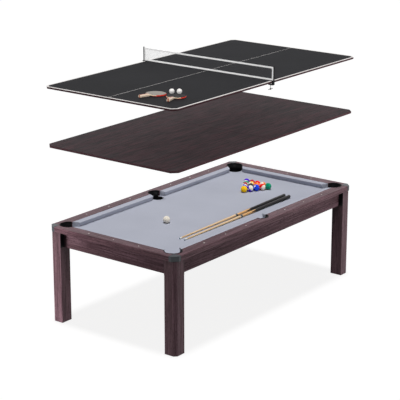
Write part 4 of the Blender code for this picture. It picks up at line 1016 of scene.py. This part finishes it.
# Paper lit from below as well, so that it is as white as its background and still takes a shadow.
# Only its upper side shows.
sweep = finish("white_sweep")
sweep_shown = node(sweep, "AddShader", {
    0: node(sweep, "BsdfDiffuse", {"Color": SWEEP_LIT}),
    1: node(sweep, "Emission", {"Color": WHITE, "Strength": SWEEP_GLOW})})
sweep_mix = node(sweep, "MixShader", {
    0: seen(sweep), 1: node(sweep, "BsdfDiffuse", {"Color": SWEEP_BOUNCE}), 2: sweep_shown})
node(sweep, "OutputMaterial", {"Surface": node(sweep, "MixShader", {
    0: node(sweep, "NewGeometry", output="Backfacing"), 1: sweep_mix,
    2: node(sweep, "BsdfTransparent")})})
floor_mesh.materials.append(sweep)

world = bpy.data.worlds.new("studio")
bpy.context.scene.world = world
world.use_nodes = True
world.node_tree.nodes.clear()
world_strength = node(world, "MapRange", {
    "Value": seen(world), "To Min": WORLD_LIGHT, "To Max": 1.0})
node(world, "OutputWorld", {
    "Surface": node(world, "Background", {"Color": WHITE, "Strength": world_strength})})

# Lamps as even as daylight: one straight above, which gives the table's soft shadow, one high in
# front, whose light the rails keep off the aprons, and a low one for the net and the paddles.
# All but the first light the object and not the sweep, so that only the shadow from above lies
# on it. Light linking keeps the left softbox off the table's right end, as a flag would.
bpy.context.view_layer.update()
on_top, flagged, unlit_floor = [bpy.data.collections.new(name) for name in (
    "on_tennis_top", "behind_the_flag", "unlit_floor")]
for piece in bpy.context.scene.objects:
    if piece.type == "MESH":
        corners = [piece.matrix_world @ Vector(corner) for corner in piece.bound_box]
        lowest = min(corner.z for corner in corners)
        if lowest > dining_low.z - 0.001:
            piece.visible_shadow = False
            piece.visible_diffuse = False
        if lowest > tennis_face:
            on_top.objects.link(piece)
        if min(corner.x for corner in corners) > RIGHT_END:
            flagged.objects.link(piece)
bpy.context.scene.collection.objects.link(studio_floor)
unlit_floor.objects.link(studio_floor)
flagged.objects.link(studio_floor)
for member in [*unlit_floor.collection_objects, *flagged.collection_objects]:
    member.light_linking.link_state = "EXCLUDE"

# Suns: place, what they light, strength and spread in degrees.
lamps = []
for name, place, receivers, strength, spread in (
        ("overhead", (0, 0, 6), None, 1.17, 9),
        ("front", (-1.8, -1.6, 6.0), unlit_floor, 1.85, 20),
        ("upper", (-4.0, -1.8, 1.4), on_top, 1.3, 30)):
    light = bpy.data.lights.new(name, "SUN")
    light.energy = strength
    light.angle = radians(spread)
    lamps.append((light, place, (0, 0, 0), receivers))
# Softboxes: place, what each points at, what they light, size in metres and power in watts.
for name, place, target, receivers, size, power in (
        ("left_softbox", (-1.80, 1.30, 0.30), (-1.2, 0.5, 0.30), flagged, (0.4, 0.4), 28),
        ("right_softbox", (3.0, -3.5, 1.0), (0.8, -0.5, 0.6), unlit_floor, (1.4, 1.2), 100)):
    light = bpy.data.lights.new(name, "AREA")
    light.shape = "RECTANGLE"
    light.size, light.size_y = size
    light.energy = power
    lamps.append((light, place, target, receivers))
for light, place, target, receivers in lamps:
    lamp = bpy.data.objects.new(light.name, light)
    bpy.context.scene.collection.objects.link(lamp)
    lamp.location = place
    lamp.rotation_euler = (Vector(target) - Vector(place)).to_track_quat("-Z", "Y").to_euler()
    # No glossy ray sees a softbox, so that the satin wood shows no glare.
    lamp.visible_glossy = light.type == "SUN"
    if receivers:
        lamp.light_linking.receiver_collection = receivers

view = bpy.data.cameras.new("photograph_view")
view.sensor_width = 36
view.lens = CAMERA_LENS
view.clip_end = 200
camera = bpy.data.objects.new("photograph_view", view)
bpy.context.scene.collection.objects.link(camera)
camera.location = CAMERA_PLACE
camera.rotation_euler = (radians(90 - CAMERA_DOWN), 0, radians(-CAMERA_RIGHT))
bpy.context.scene.camera = camera
bpy.context.scene.view_settings.view_transform = "Standard"

bpy.context.view_layer.update()
